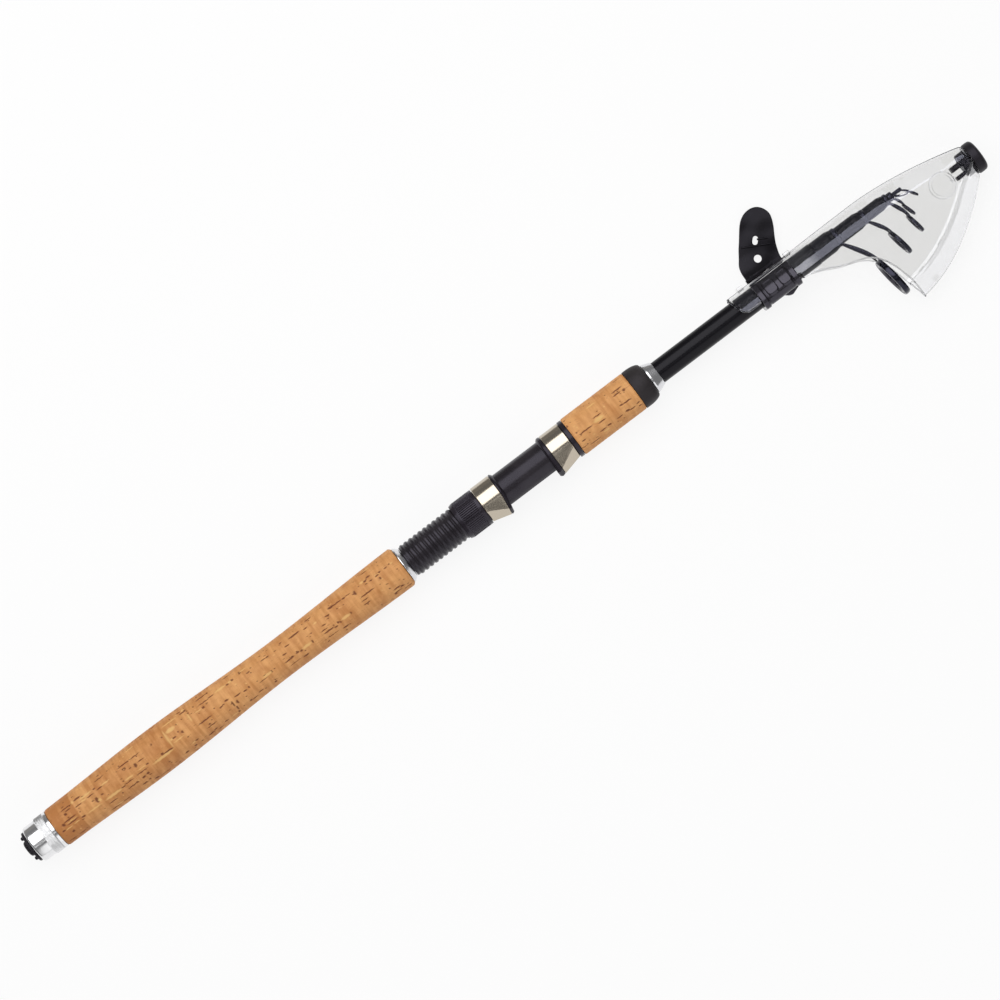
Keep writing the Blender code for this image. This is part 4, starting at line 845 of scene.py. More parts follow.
# %% [markdown]
# ## The reel seat's barrel
#
# One moulding carries the screw thread, the smooth pipe and the flat that the reel's foot lies on.
# A thread is a height over the plain barrel: it depends only on how far a point lies from the
# helix, so one zigzag wave of (place along / pitch - turn round) gives the whole of it.

# %% Reel seat
SEAT_START, SEAT_END, SEAT_RADIUS = span("seat_body")
THREAD_PITCH, THREAD_DEPTH, THREAD_END = 3.5, 0.8, 345.2
BED_DROP, BED_START, BED_END = 9.95, 346.6, 402.3


def seat_angles():
    """Even angles with one exactly at each edge of the foot's flat."""
    edge = math.acos(BED_DROP / SEAT_RADIUS)
    even = np.linspace(0.0, math.tau, 120, endpoint=False)
    edges = [math.pi / 2 + side * (edge + extra) for side in (-1, 1) for extra in (-0.03, 0.0, 0.03)]
    return np.unique(np.concatenate([even, edges]))[None, :]


def seat_radius(x, angle):
    """Root plus the thread's ridge, then the full pipe, and nearer in where the flat is cut."""
    phase = (x - SEAT_START - 1.77) / THREAD_PITCH - 0.25 - angle / math.tau
    ridge = 1 - np.abs(phase - np.round(phase)) / 0.46
    window = eased(SEAT_START + 0.3, SEAT_START + 1.8, x) * (1 - eased(THREAD_END - 2.0, THREAD_END, x))
    root = SEAT_RADIUS - THREAD_DEPTH
    root = root + THREAD_DEPTH * np.clip((x - THREAD_END) / 0.8, 0.0, 1.0)
    radius = root + THREAD_DEPTH * np.clip(ridge, 0.0, 0.66) / 0.66 * window
    flat = BED_DROP / np.maximum(np.cos(angle - math.pi / 2), 0.05)
    in_bed = (x > BED_START) & (x < BED_END)
    return np.where(in_bed, np.minimum(radius, flat), radius)


def make_seat():
    """The thread's fine rows, the pipe with the foot's flat, and a bore through both."""
    angle = seat_angles()
    step = 0.01
    thread = np.linspace(SEAT_START + 0.1, THREAD_END, 430)
    bed = [BED_START - step, BED_START + step, BED_END - step, BED_END + step]
    x = np.concatenate([thread, [THREAD_END + 0.8], bed, [SEAT_END - 0.1]])[:, None]
    outer = around(x * MM, seat_radius(x, angle) * MM, angle)
    ends = [(SEAT_END, SEAT_RADIUS - 0.1), (SEAT_END, 9.0), (SEAT_START, 9.0), (SEAT_START, 10.0)]
    rest = np.array(ends) * MM
    shell = skin(np.concatenate([outer, around(rest[:, :1], rest[:, 1:], angle)]), loop=True)
    piece("seat_body", [shell], SEAT_PLASTIC, "rod_butt", crease=50.0)


make_seat()
for node in ("seat_arbor_rear", "seat_arbor_front"):
    SEAT_PLASTIC.on(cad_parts[node])

# %% [markdown]
# ## The lock nut
#
# Fine ribs in six panels give the fingers a grip, with a wider groove between the panels. Like the
# thread, the ribs are a height over a plain lathe shape, worked out from the angle alone, and they
# fade out before the nut's smooth ends.

# %% Lock nut
NUT_START, NUT_END, NUT_RADIUS = span("lock_nut")


def nut_depth(angle):
    """How deep the nut is cut at an angle: shallow grooves 6 degrees apart, a deeper one every 60."""
    degrees = (np.degrees(angle) - 16.0) % 60.0
    rib = 0.45 * np.clip(np.cos(degrees / 6.0 * math.tau), 0.0, None) ** 1.5
    gap = 0.8 * np.clip(1.35 * (1 - np.abs(degrees - 57.0) / 3.2), 0.0, 1.0)
    return np.maximum(rib, gap)


def make_nut():
    """A chamfer, the ribbed band, whose grooves are cut where the line is at full radius, and a bore."""
    front = [(NUT_START, 11.6), (NUT_START + 2.0, NUT_RADIUS), (NUT_START + 3.0, NUT_RADIUS)]
    front = softened(np.array(front) * MM, 0.4 * MM, closed=False)
    ribs = np.array([(x, NUT_RADIUS) for x in np.linspace(NUT_START + 3.05, NUT_END - 2.0, 26)]) * MM
    rear = [(NUT_END - 1.9, NUT_RADIUS), (NUT_END, NUT_RADIUS), (NUT_END, 11.2), (NUT_START, 11.2)]
    rear = softened(np.array(rear) * MM, 0.5 * MM, closed=False)
    line = np.concatenate([front, ribs, rear])
    angle = turns(900)
    x = line[:, :1]
    rear_fade = eased(NUT_START + 2.6, NUT_START + 3.2, x / MM)
    front_fade = 1 - eased(NUT_END - 2.6, NUT_END - 2.0, x / MM)
    outer = (line[:, 1:] > (NUT_RADIUS - 0.3) * MM) * rear_fade * front_fade
    shell = skin(around(x, line[:, 1:] - outer * nut_depth(angle) * MM, angle), loop=True)
    piece("lock_nut", [shell], NUT_PLASTIC, "nut", crease=50.0)


make_nut()

# %% [markdown]
# ## The hoods
#
# The reel's foot slides under two plated hoods, each with a black liner whose rim shows at the
# mouth. A hood is round over the barrel and grows a flat-sided pocket below, so its section is
# worked out at a share of the way from its back to its mouth: part of a circle, then a slanting
# line to a crease, a facet, and a flat bottom. Lofting that section gives the creased sides that
# the plating shows off.

# %% Hoods
HOOD_RADIUS = span("sliding_hood")[2]
LEAST_RADIUS = 11.0  # nothing reaches in to the barrel


def hood_section(share, inset=0.0):
    """(radius, angle) round a hood at a share of its length, set in towards the axis."""
    turn = math.radians(9.0)
    side = [
        (HOOD_RADIUS * math.sin(turn), HOOD_RADIUS * math.cos(turn)),  # where the round part ends
        (4.8 + 6.3 * share, HOOD_RADIUS - 0.15 - 0.5 * share),  # the crease
        (11.7 + 3.0 * share, 4.7 + 2.0 * share),  # the corner with the flat bottom
    ]
    line = softened(side + [(y, -z) for y, z in side[::-1]], 0.35, 5, closed=False)
    arc_turn = np.linspace(math.pi - turn, math.tau + turn, 72)[1:-1]
    arc = np.stack([HOOD_RADIUS * np.sin(arc_turn), HOOD_RADIUS * np.cos(arc_turn)], axis=1)
    whole = np.concatenate([line, arc])
    radius = np.hypot(whole[:, 0], whole[:, 1]) - inset
    least = LEAST_RADIUS + 0.05 * (1.4 - min(inset, 1.4))
    return np.maximum(radius, least), np.arctan2(whole[:, 0], whole[:, 1])


def hood_rows(stations, slant):
    """Rows of points from stations: x in mm, the share along the hood, and the inset.

    slant draws the mouth's lower side back by so much at its lowest point.
    """
    rows = []
    for x, share, inset in stations:
        radius, angle = hood_section(share, inset)
        lower = np.clip((radius * np.sin(angle) - 3.0) / 11.7, 0.0, 1.0)
        rows.append(around((x + slant * share * lower) * MM, radius * MM, angle))
    return np.array(rows)


def make_hood(prefix, body, back, mouth, rim, slant):
    """The metal hood from its back to the rim's joint, and the liner inside it with its rim."""
    ahead = 1.0 if mouth > back else -1.0
    joint = mouth - ahead * rim
    length = abs(joint - back)
    metal = [(back + ahead * 0.15, 0.0, 0.12), (back + ahead * 0.3, 0.0, 0.0)]
    metal += [(back + ahead * (0.3 + share * (length - 0.6)), share, 0.0)
              for share in np.linspace(0.0, 1.0, 9)]
    metal += [(joint - ahead * 0.12, 1.0, 0.1), (joint, 1.0, 0.3), (joint, 1.0, 0.6), (back, 0.0, 0.6),
              (back, 0.0, 0.3)]
    lip = joint + ahead * 0.3
    beyond = 1.0 + rim / length
    liner = [(back, 0.0, 0.9), (joint, 1.0, 0.9), (lip, 1.02, 0.9), (lip, 1.02, 0.12),
             (lip + ahead * 0.12, 1.02, 0.0), (mouth - ahead * 1.3, beyond - 0.1, 0.0),
             (mouth - ahead * 1.15, beyond - 0.09, 0.06), (mouth - ahead * 0.1, beyond, 1.05),
             (mouth, beyond, 1.25), (mouth, beyond, 1.4), (joint, 1.0, 1.4), (back, 0.0, 1.4)]
    for name, stations, finish, slot in (("_hood", metal, NICKEL, "nickel"),
                                         ("_hood_liner", liner, NUT_PLASTIC, "black_plastic")):
        shell = skin(hood_rows(stations, slant), loop=True)
        piece(prefix + name, [shell], finish, body, crease=24.0)


make_hood("sliding", "hood", 341.7, 357.3, 2.3, -1.8)
make_hood("fixed", "rod_butt", 406.8, 390.3, 3.3, 0.0)

# %% [markdown]
# ## The blank
#
# The sections are wrapped from carbon cloth and lacquered. Under the gloss the cloth's wrapping
# leaves faint turns, which are drawn as a slow wobble in the bump, and the lacquer itself is a
# clear coat over a nearly black base.

# %% Blank


def make_blank_finish():
    finish = Finish("lacquered blank", Coat_Weight=0.12, Coat_Roughness=0.08, Coat_IOR=1.45,
                    Specular_IOR_Level=0.12, Specular_Tint=(0.9, 0.88, 1.0))
    wraps = finish.noise(1.0, 2.0, (420.0, 60.0, 60.0))
    flakes = finish.noise(4200.0, 1.0)
    base = finish.mix(flakes.ramp(0.55, 0.8), srgb(14, 13, 16), srgb(24, 23, 30))
    finish.set(Base_Color=base, Roughness=wraps * 0.12 + 0.24)
    finish.bump(wraps, 0.00001, 0.5)
    return finish


BLANK = make_blank_finish()
SECTION_FRONTS = {2: 5.5, 3: 3.95, 4: 2.6, 5: 1.4, 6: 0.5}
SECTION_BORES = {2: 4.5, 3: 3.1, 4: 1.9, 5: 0.9}
SLEEVE_GAP = 0.32  # from a section's end to the bore of what sits on it
start, end, _ = span("butt_section")
butt = turned([(start, BUTT_RADIUS), (end, BUTT_RADIUS)], 6.1)
piece("butt_section", [butt], BLANK, "rod_butt")
for number, front in SECTION_FRONTS.items():
    start, end, tail = span(f"section_{number}")
    shell = turned([(start, tail), (end, front)], SECTION_BORES.get(number), columns=64, size=0.15)
    piece(f"section_{number}", [shell], BLANK, f"section_{number}")
for number in (2, 3, 4):
    start, end, radius = span(f"guide_sleeve_{number}")
    outer = [(start, radius), (end - 3.0, radius), (end - 1.6, radius - 0.4), (end, radius - 0.7)]
    sleeve = turned(outer, SECTION_FRONTS[number] + SLEEVE_GAP)
    piece(f"guide_sleeve_{number}", [sleeve], BLANK, f"section_{number}")

# %% [markdown]
# ## Guides
#
# Each guide is stamped from dark metal: a foot ring round the blank's end, two legs that are broad
# in the middle and thin where they meet the ring, a bezel, and a smooth ceramic insert for the
# line. A leg is an ellipse carried along a smooth line, with a width that changes on the way.

# %% Guides
GUIDES = [
    # name, section, ring centre x and y, outer radius, lean in degrees, wire radius, foot radius
    ("guide_1", 2, 621.3, -39.3, 13.5, 7.6, 0.7, 6.2),
    ("guide_2", 3, 637.4, -25.2, 9.2, 10.4, 0.62, 4.7),
    ("guide_3", 4, 651.5, -21.6, 6.9, 10.3, 0.65, 3.65),
    ("guide_4", 5, 653.4, -12.6, 5.0, 17.0, 0.5, 2.7),
    ("tip_top", 6, 661.5, -6.3, 3.5, 31.0, 0.36, 1.2),
]
FOOT_ENDS = {2: (607.2, 609.9), 3: (627.6, 630.3), 4: (644.7, 647.1), 5: (647.4, 650.7), 6: (651.0, 657.3)}


def through(points, count):
    """A smooth Catmull-Rom line through points, with so many places in all."""
    points = np.asarray(points, float)
    padded = np.concatenate([points[:1] * 2 - points[1:2], points, points[-1:] * 2 - points[-2:-1]])
    place = np.linspace(0.0, len(points) - 1 - 1e-9, count)
    i, t = place.astype(int), (place % 1.0)[:, None]
    a, b, c, d = (padded[i + k] for k in range(4))
    return 0.5 * (2 * b + (c - a) * t + (2 * a - 5 * b + 4 * c - d) * t**2 + (3 * b - a - 3 * c + d) * t**3)


def carried(path, wide, thick, columns=16):
    """An ellipse carried along a path: wide across the path, thick towards +Z, closed at both ends."""
    ahead = np.gradient(path, axis=0)
    ahead /= np.linalg.norm(ahead, axis=1, keepdims=True)
    across = np.cross(ahead, (0.0, 0.0, 1.0))
    across /= np.linalg.norm(across, axis=1, keepdims=True)
    up = np.cross(across, ahead)
    turn = turns(columns)[..., None]
    wide, thick = (np.broadcast_to(size, len(path))[:, None, None] for size in (wide, thick))
    rows = path[:, None] + wide * np.cos(turn) * across[:, None] + thick * np.sin(turn) * up[:, None]
    return skin(capped(rows) * MM)


def leaning_ring(center, lean, profile, columns):
    """A loop of (along, radius) corners turned about an axis that leans up from +X."""
    line = softened(np.asarray(profile, float), 0.3, 5)
    axis = np.array([math.cos(lean), math.sin(lean), 0.0])
    up = np.array([-math.sin(lean), math.cos(lean), 0.0])
    turn = turns(columns)[..., None]
    spoke = np.cos(turn) * up + np.sin(turn) * np.array([0.0, 0.0, 1.0])
    rows = np.array(center) + line[:, None, :1] * axis + line[:, None, 1:] * spoke
    return skin(rows * MM, loop=True)


def make_guide(name, number, x, y, radius, lean, wire, foot_radius):
    """A guide's frame, of bezel, foot ring and legs, and the ceramic insert in its bezel."""
    lean = math.radians(lean)
    center = np.array([x, y, 0.0])
    up = np.array([-math.sin(lean), math.cos(lean), 0.0])
    inner, depth = radius * 0.87, max(radius * 0.14, 0.6)
    edge, seat = radius - 0.25 * depth, inner + 0.02 * radius
    bezel = [(-depth, edge), (-depth * 0.4, radius), (depth * 0.4, radius), (depth, edge),
             (depth, seat), (depth * 0.5, inner), (-depth * 0.5, inner), (-depth, seat)]
    shells = [leaning_ring(center, lean, bezel, 96)]
    start, end = FOOT_ENDS[number]
    bore = SECTION_FRONTS[number] + SLEEVE_GAP
    if number < 6:
        foot = [(start, foot_radius - 0.1), (start + 0.35, foot_radius), (end - 0.7, foot_radius),
                (end, foot_radius - 0.3)]
        shells.append(turned(foot, bore, columns=72, size=0.2))
    else:
        tube = [(start, foot_radius), (end - 0.5, foot_radius), (end, foot_radius - 0.35), (end, 0.05)]
        hole = [(start, bore), (end - 0.6, bore), (end - 0.6, 0.05)]
        shells.append(turned(tube, hole, columns=40, size=0.15))
    root = bore + 1.15 * wire
    low_turn, high_turn = math.radians(27.0), math.radians(46.0)
    middle = (radius + inner) / 2
    t = np.linspace(0.0, 1.0, 36)
    wide = wire * (0.8 + 0.75 * np.exp(-(((t - 0.42) / 0.16) ** 2)))
    wide[[0, -1]] *= 0.6
    for side in (-1.0, 1.0):
        joint = center + up * middle * math.cos(high_turn)
        joint[2] = side * middle * math.sin(high_turn)
        low = np.array([end - min(end - start - 0.3, 2.8), -root * math.cos(low_turn),
                        side * root * math.sin(low_turn)])
        bend = np.array([end - 0.5, low[1], low[2]])
        knees = [bend + (joint - bend) * share + np.array([-ahead * y, 0.0, 0.0])
                 for share, ahead in ((0.5, 0.06), (0.8, 0.055))]
        shells.append(carried(through([low, bend, *knees, joint], len(t)), wide, wire * 0.72))
    if number == 6:
        strut = [(650.9, -0.9, 0.0), (655.0, -3.3, 0.0), (658.2, -4.3, 0.0), (659.8, -3.6, 0.0)]
        shells.append(carried(through(strut, 18), 0.55, 0.5))
    piece(name + "_frame", shells, GUIDE_METAL, f"section_{number}")
    out, thick = inner - 0.12, 0.2 * radius
    insert = [(-depth * 0.9, out), (depth * 0.9, out), (depth * 1.05, out - 0.35 * thick),
              (depth * 0.5, out - thick), (-depth * 0.5, out - thick), (-depth * 1.05, out - 0.35 * thick)]
    piece(name + "_ring", [leaning_ring(center, lean, insert, 96)], CERAMIC, f"section_{number}")


for guide in GUIDES:
    make_guide(*guide)

# %% [markdown]
# ## The clear cover
#
# A thin moulded shell keeps the guides safe. Its section is a tall box with round corners, and its
# top, bottom and width each follow their own line along the rod. The grid's columns run round the
# section and its rows follow the rod, except that every column starts where the shell's cut rear
# edge crosses it. Solidify then gives the sheet its wall, as the plastic really has, because clear
# plastic without a thickness doesn't bend the light at its edges.

# %% Cover
COVER_START, COVER_NOSE, COVER_WALL = 533.1, 700.5, 0.9
TROUGH_START = 577.2
ALL_ROUND = 632.0  # ahead of here nothing of the section is cut away
NOSE_HEIGHT = -11.4
TAIL_LOW = -3.9  # the tail's lower edge
HOLE_RADIUS = 7.9  # in the nose, round the plug's neck
REAR_EDGE = np.array([
    (577.2, -7.7), (580.5, -7.75), (584.0, -8.1), (588.0, -9.5), (592.5, -11.3), (597.0, -13.7),
    (601.5, -15.9), (606.5, -17.4), (610.5, -18.8), (614.4, -20.6), (617.6, -22.9), (620.2, -25.6),
    (623.0, -30.0), (625.8, -36.5), (628.0, -46.0), (629.6, -54.0), (630.2, -62.0),
])


def cover_top(x):
    """A slow rise along the tail, then a fall with the power 1.7 to the nose."""
    share = np.clip((x - 628.0) / 72.5, 0.0, None)
    return 9.9 + 0.8 * eased(COVER_START, 628.0, x) - 11.8 * share**1.7


def cover_low(x):
    """Level, then a parabola up to the nose."""
    share = np.clip((COVER_NOSE - x) / 70.5, 0.0, 1.0)
    return -21.7 - 38.3 * share * (1 + 0.78 * (1 - share))


def cover_half_width(x):
    """Narrow at the tail, wider over the guides, and a parabola that closes it at the nose."""
    closing = np.clip(x - 640.0, 0.0, None) / 60.5
    return 11.1 + 2.9 * eased(575.0, 612.0, x) - 3.7 * closing * closing


def corner_end(x):
    """The height at which the top corner meets the flat side: level, then falling towards the nose."""
    return TAIL_LOW - 0.35 * np.clip(10.7 - cover_top(x), 0.0, None) * (x > 628.0)


def cover_corner(x, inset):
    """The top corner's 13 points at each x: (height, width) from its top edge to the flat side.

    It is a short arc, a slope whose normal leans 32 degrees, and a wide arc. Their sizes keep their
    shares of the corner's height, but the wide arc is narrower between the tip and the nose.
    """
    x = x + np.zeros((1, 13))
    top, half, end = cover_top(x) - inset, cover_half_width(x) - inset, corner_end(x)
    size = (top + inset - end) / 14.6
    lean = math.radians(32.0)
    wide = 9.0 * size * (1 - 0.7 * eased(636.0, 662.0, x) + 0.7 * eased(682.0, 697.0, x))
    reach_y = end + wide * math.sin(lean)
    reach_z = half - wide * (1 - math.cos(lean))
    tip = 5.0 * size
    tip_z = reach_z - (top - tip * (1 - math.sin(lean)) - reach_y) * math.tan(lean) - tip * math.cos(lean)
    turn = np.concatenate([np.linspace(math.pi / 2, lean, 6), np.linspace(lean, 0.0, 7)])
    short = np.arange(13) < 6
    y = np.where(short, top - tip + tip * np.sin(turn), end + wide * np.sin(turn))
    z = np.where(short, tip_z + tip * np.cos(turn), half - wide * (1 - np.cos(turn)))
    return y, z


def lower_rise(x):
    """How high over the bottom the slanting lower faces begin."""
    return np.minimum(14.2, 10.3 + 0.35 * (COVER_NOSE - x))


def cover_section(x, inset, straight):
    """Half the section at each x, from the top's middle round the +Z side to the bottom's middle.

    straight holds the shares at which columns run along the flat side. Below it the section closes
    with a wide arc, a slanting face and a narrow arc at the bottom. Returns heights and widths.
    """
    upper_y, upper_z = cover_corner(x, inset)
    low = cover_low(x) + inset
    half = cover_half_width(x) - inset
    rise = lower_rise(x) - inset
    side_y = upper_y[:, -1:] * (1 - straight) + (low + rise) * straight
    side_z = half + 0.0 * straight
    arc = 5.5 * rise / 14.2
    tip = 2.5
    lean = np.arctan2(rise - tip, half - tip) + 0.08
    turn = np.linspace(0.0, 1.0, 8)[None, :] * lean
    arc_y, arc_z = low + rise - arc * np.sin(turn), half - arc * (1 - np.cos(turn))
    turn = lean + np.linspace(0.0, 1.0, 5)[None, :] * (math.pi / 2 - lean)
    tip_y, tip_z = low + tip * (1 - np.sin(turn)), tip * np.cos(turn)
    lower_y = np.concatenate([arc_y, tip_y, low], axis=1)
    lower_z = np.concatenate([arc_z, tip_z, 0.0 * low], axis=1)
    top = cover_top(x) - inset
    return (np.concatenate([top, upper_y, side_y, lower_y], axis=1),
            np.concatenate([0.0 * top, upper_z, side_z, lower_z], axis=1))


def both_sides(x, y, z):
    """Joins a half section to its mirror image, from one bottom middle over the top to the other."""
    half = np.stack([np.broadcast_to(x, y.shape), y, z], axis=-1)
    mirrored = half[:, :0:-1] * np.array([1.0, 1.0, -1.0])
    return np.concatenate([mirrored, half], axis=1)


def cover_body_rows():
    """Rows from each column's start on the cut edge to ALL_ROUND, and on to the rounded nose.

    A column's height changes along the rod, so the place where it meets the edge is found by steps.
    """
    here = np.array([[TROUGH_START]])
    flat_low = float((cover_low(here) + lower_rise(here))[0, 0])
    heights = np.concatenate([[-5.3, -6.6, -7.7], np.linspace(-8.3, flat_low, 44)[:-1]])
    straight = ((TAIL_LOW - heights) / (TAIL_LOW - flat_low))[None, :]
    starts = np.full(14 + len(heights) + 14, TROUGH_START)
    for _ in range(40):
        column_y = cover_section(starts[:, None], 0.0, straight)[0].diagonal()
        starts = np.interp(-column_y, -REAR_EDGE[:, 1], REAR_EDGE[:, 0])
    s = np.linspace(0.0, 1.0, 40)[:, None]
    x = starts[None, :] * (1 - s) + ALL_ROUND * s
    columns = [[side[:, k] for side in cover_section(x[:, k:k + 1], 0.0, straight)]
               for k in range(len(starts))]
    rear = both_sides(x, *np.array(columns).transpose(1, 2, 0))
    front_x = np.linspace(ALL_ROUND, COVER_NOSE - 2.2, 48)[1:, None]
    front = both_sides(front_x, *cover_section(front_x, 0.0, straight))
    rows = [rear, front]
    for turn in np.linspace(0.0, math.pi / 2, 7)[1:]:
        at = np.array([[COVER_NOSE - 2.2 + 2.2 * math.sin(turn)]])
        inset = 2.0 * (1 - math.cos(turn))
        rows.append(both_sides(at, *cover_section(at, inset, straight)))
    last = rows[-1][0]
    spoke = last[:, 1:] - np.array([NOSE_HEIGHT, 0.0])
    hole = spoke / np.linalg.norm(spoke, axis=1, keepdims=True) * HOLE_RADIUS + np.array([NOSE_HEIGHT, 0.0])
    rows.append(np.concatenate([last[:, :1], hole], axis=1)[None])
    return np.concatenate(rows)


def cover_tail_rows():
    """The tail over the blank: columns down to -3.9, each starting on the tail's round rear edge."""
    s = np.linspace(0.0, 1.0, 30)[:, None]
    columns = cover_section(np.array([[560.0]]), 0.0, np.zeros((1, 1)))[0][0, :14]
    edge_y = np.array([-20.0, -3.9, -3.2, -1.5, 0.0, 2.5, 5.0, 7.5, 9.2, 12.0])
    edge_x = np.array([6.4, 6.4, 5.2, 3.2, 2.4, 1.7, 1.2, 0.6, 0.0, 0.0])
    x = (COVER_START + np.interp(columns, edge_y, edge_x))[None, :] * (1 - s) + TROUGH_START * s
    y, z = cover_corner(x[:, 1:], 0.0)
    y = np.concatenate([cover_top(x[:, :1]), y], axis=1)
    return both_sides(x, y, np.concatenate([0.0 * x[:, :1], z], axis=1))


def make_clear(name, color, roughness):
    """Clear styrene: a faint grey in the plastic, haze from handling, and gloss on its round edges."""
    finish = Finish(name, Transmission_Weight=1.0, IOR=1.5, Specular_IOR_Level=0.42,
                    Specular_Tint=(0.8, 0.82, 1.0), Coat_IOR=2.0)
    haze = finish.noise(70.0, 4.0)
    darker = tuple(0.985 * share for share in color)
    finish.set(Base_Color=finish.mix(haze.ramp(0.4, 0.8), color, darker))
    finish.set(Roughness=haze.ramp(0.45, 0.9) * 0.04 + roughness)
    finish.set(Coat_Weight=finish.attribute("gloss"))
    return finish


def gloss_at(x, y):
    """1 on the wide arc along the body's lower edge, 0.07 below it, and 0.45 just ahead of the strap."""
    arc = cover_low(x) + lower_rise(x) - y
    ahead = 0.45 * eased(560.0, 575.0, x) * (1 - eased(583.0, 594.0, x))
    return ahead + eased(-0.3, 0.5, arc) * (1 - 0.93 * eased(4.0, 6.0, arc))


def sheet_piece(name, grids, wall, finish, body, stands_for):
    """Open grids welded along their common points, given a wall inwards by Solidify."""
    points = np.concatenate([grid.reshape(-1, 3) for grid in grids])
    start, quads = 0, []
    for grid in grids:
        count, columns = grid.shape[:2]
        index = np.arange(count * columns).reshape(count, columns) + start
        corners = [index[:-1, :-1], index[:-1, 1:], index[1:, 1:], index[1:, :-1]]
        quads.append(np.stack(corners, axis=-1).reshape(-1, 4))
        start += count * columns
    _, first, lookup = np.unique(np.round(points, 4), axis=0, return_index=True, return_inverse=True)
    faces = lookup.ravel()[np.concatenate(quads)]
    faces = faces[[len(set(face)) == 4 for face in faces.tolist()]]
    mesh = bpy.data.meshes.new(name)
    mesh.from_pydata((points[first] * MM).tolist(), [], faces.tolist())
    gloss = gloss_at(points[first, 0], points[first, 1])
    mesh.attributes.new("gloss", "FLOAT", "POINT").data.foreach_set("value", gloss.astype(np.float32))
    mesh.shade_smooth()
    mesh.set_sharp_from_angle(angle=math.radians(40.0))
    made = linked(name, mesh)
    solid = made.modifiers.new("wall", "SOLIDIFY")
    solid.thickness = wall * MM
    solid.offset = -1.0
    solid.use_even_offset = True
    return finished(made, finish, body, stands_for)


def block(low, high, radius, steps=5):
    """A box with rounded edges: a ball's directions, pushed out to the box's inner corners."""
    low, high = np.asarray(low, float), np.asarray(high, float)
    middle, core = (low + high) / 2, (high - low) / 2 - radius
    quarter = np.linspace(0.0, math.pi / 2, steps)
    turn = np.concatenate([quarter + math.pi / 2 * k for k in range(4)])
    signs = np.repeat([(1, 1), (-1, 1), (-1, -1), (1, -1)], steps, axis=0)
    rows = []
    for side in (-1, 1):
        for tilt in quarter if side == 1 else quarter[::-1]:
            flat = np.stack([np.cos(turn), np.sin(turn)], axis=1) * math.cos(tilt) * radius
            height = side * (core[2] + radius * math.sin(tilt))
            rows.append(np.column_stack([flat + signs * core[:2], np.full(len(turn), height)]))
    return skin((capped(np.array(rows)) + middle) * MM)


CLEAR = make_clear("clear cover", (0.90, 0.90, 0.905), 0.015)
sheet_piece("cover_shell_fine", [cover_tail_rows(), cover_body_rows()], COVER_WALL, CLEAR, "cover",
            ("cover_shell",))
ribs = [block((x, 8.6, -4.0), (x + 4.0, 11.8, 4.0), 0.5) for x in (541.5, 576.5)]
piece("cover_ribs", ribs, CLEAR, "cover", ())


def cover_rim():
    """A round bead along each side of the cut rear edge, and a finer one round the tail's edge."""
    edge = cover_body_rows()[0]
    tail = cover_tail_rows()
    middle = len(edge) // 2
    lines = []  # each with how far it is drawn in and the bead's two radii
    for line in (edge[middle:], edge[middle::-1]):
        line = line[(line[:, 0] > TROUGH_START + 0.3) & (np.abs(line[:, 2]) > 1.0)]
        lines.append((line, (1.0, 1.0, 0.965), 0.5, 0.6))
    for across, along in ((tail[0, 18:], tail[2:-1, -1]), (tail[0, 8::-1], tail[2:-1, 0])):
        lines.append((np.concatenate([across, along]), (1.0, 0.98, 0.97), 0.6, 0.5))
    return [carried(through(line * np.array(inwards), 90), wide, thick, 10)
            for line, inwards, wide, thick in lines]


piece("cover_rim", cover_rim(), CLEAR, "cover", ())


def side_ring(x, y, radius, bore, height):
    """A low ring on the cover's side, tilted as the side is there."""
    outer, inner = [(0.0, radius), (height, radius - 0.15)], [(0.0, bore), (height, bore + 0.15)]
    points, quads, triangles = turned(outer, inner, columns=72, size=0.2)
    half = [float(cover_half_width(np.array(x + step))) for step in (-1.0, 1.0)]
    lean = math.atan((half[1] - half[0]) / 2.0)
    along = np.array([math.cos(lean), 0.0, math.sin(lean)])
    out = np.array([-math.sin(lean), 0.0, math.cos(lean)])
    middle = np.array([x, y, sum(half) / 2 - 0.1]) * MM
    return middle + points @ np.array([out, (0.0, 1.0, 0.0), along]), quads, triangles


rings = [side_ring(676.8, -13.4, 8.6, 7.7, 0.45), side_ring(676.8, -13.4, 6.6, 6.2, 0.3)]
piece("cover_side_rings", rings, CLEAR, "cover", ())
piece("cover_gate_mark", [side_ring(683.7, NOSE_HEIGHT - 2.4, 1.5, 0.7, 0.9)], CLEAR, "cover", ())

# %% [markdown]
# ## Nose plug and strap
#
# A black rubber plug closes the hole that the cover's mould leaves in its nose. The strap is a
# rubber band round the cover's tail: its section, with a raised rim at each side, is carried round a
# U. Its free end is a flat tongue with two holes, made from its outline as a filled curve, because
# holes in a plate are simpler to draw than to grid.

# %% Nose plug and strap
HEAD_START, HEAD_END = 700.8, 707.4
plug = [(693.9, 7.0), (694.5, 7.6), (HEAD_START, 7.6), (HEAD_START, 10.2), (HEAD_START + 3.6, 10.2)]
plug += [(HEAD_END - 2.5 + 2.5 * math.sin(a), 7.7 + 2.5 * math.cos(a))
         for a in np.linspace(0.3, math.pi / 2, 7)]
shells = [turned(plug, columns=96, size=0.3, height=NOSE_HEIGHT)]
for low, high in ((0.0, 3.6), (-5.6, -3.0)):
    shells.append(block((687.3, NOSE_HEIGHT + low, -4.0), (694.6, NOSE_HEIGHT + high, 4.0), 0.5))
piece("nose_plug", shells, PLUG_RUBBER, "plug")

STRAP_START, STRAP_END = 548.7, 575.7


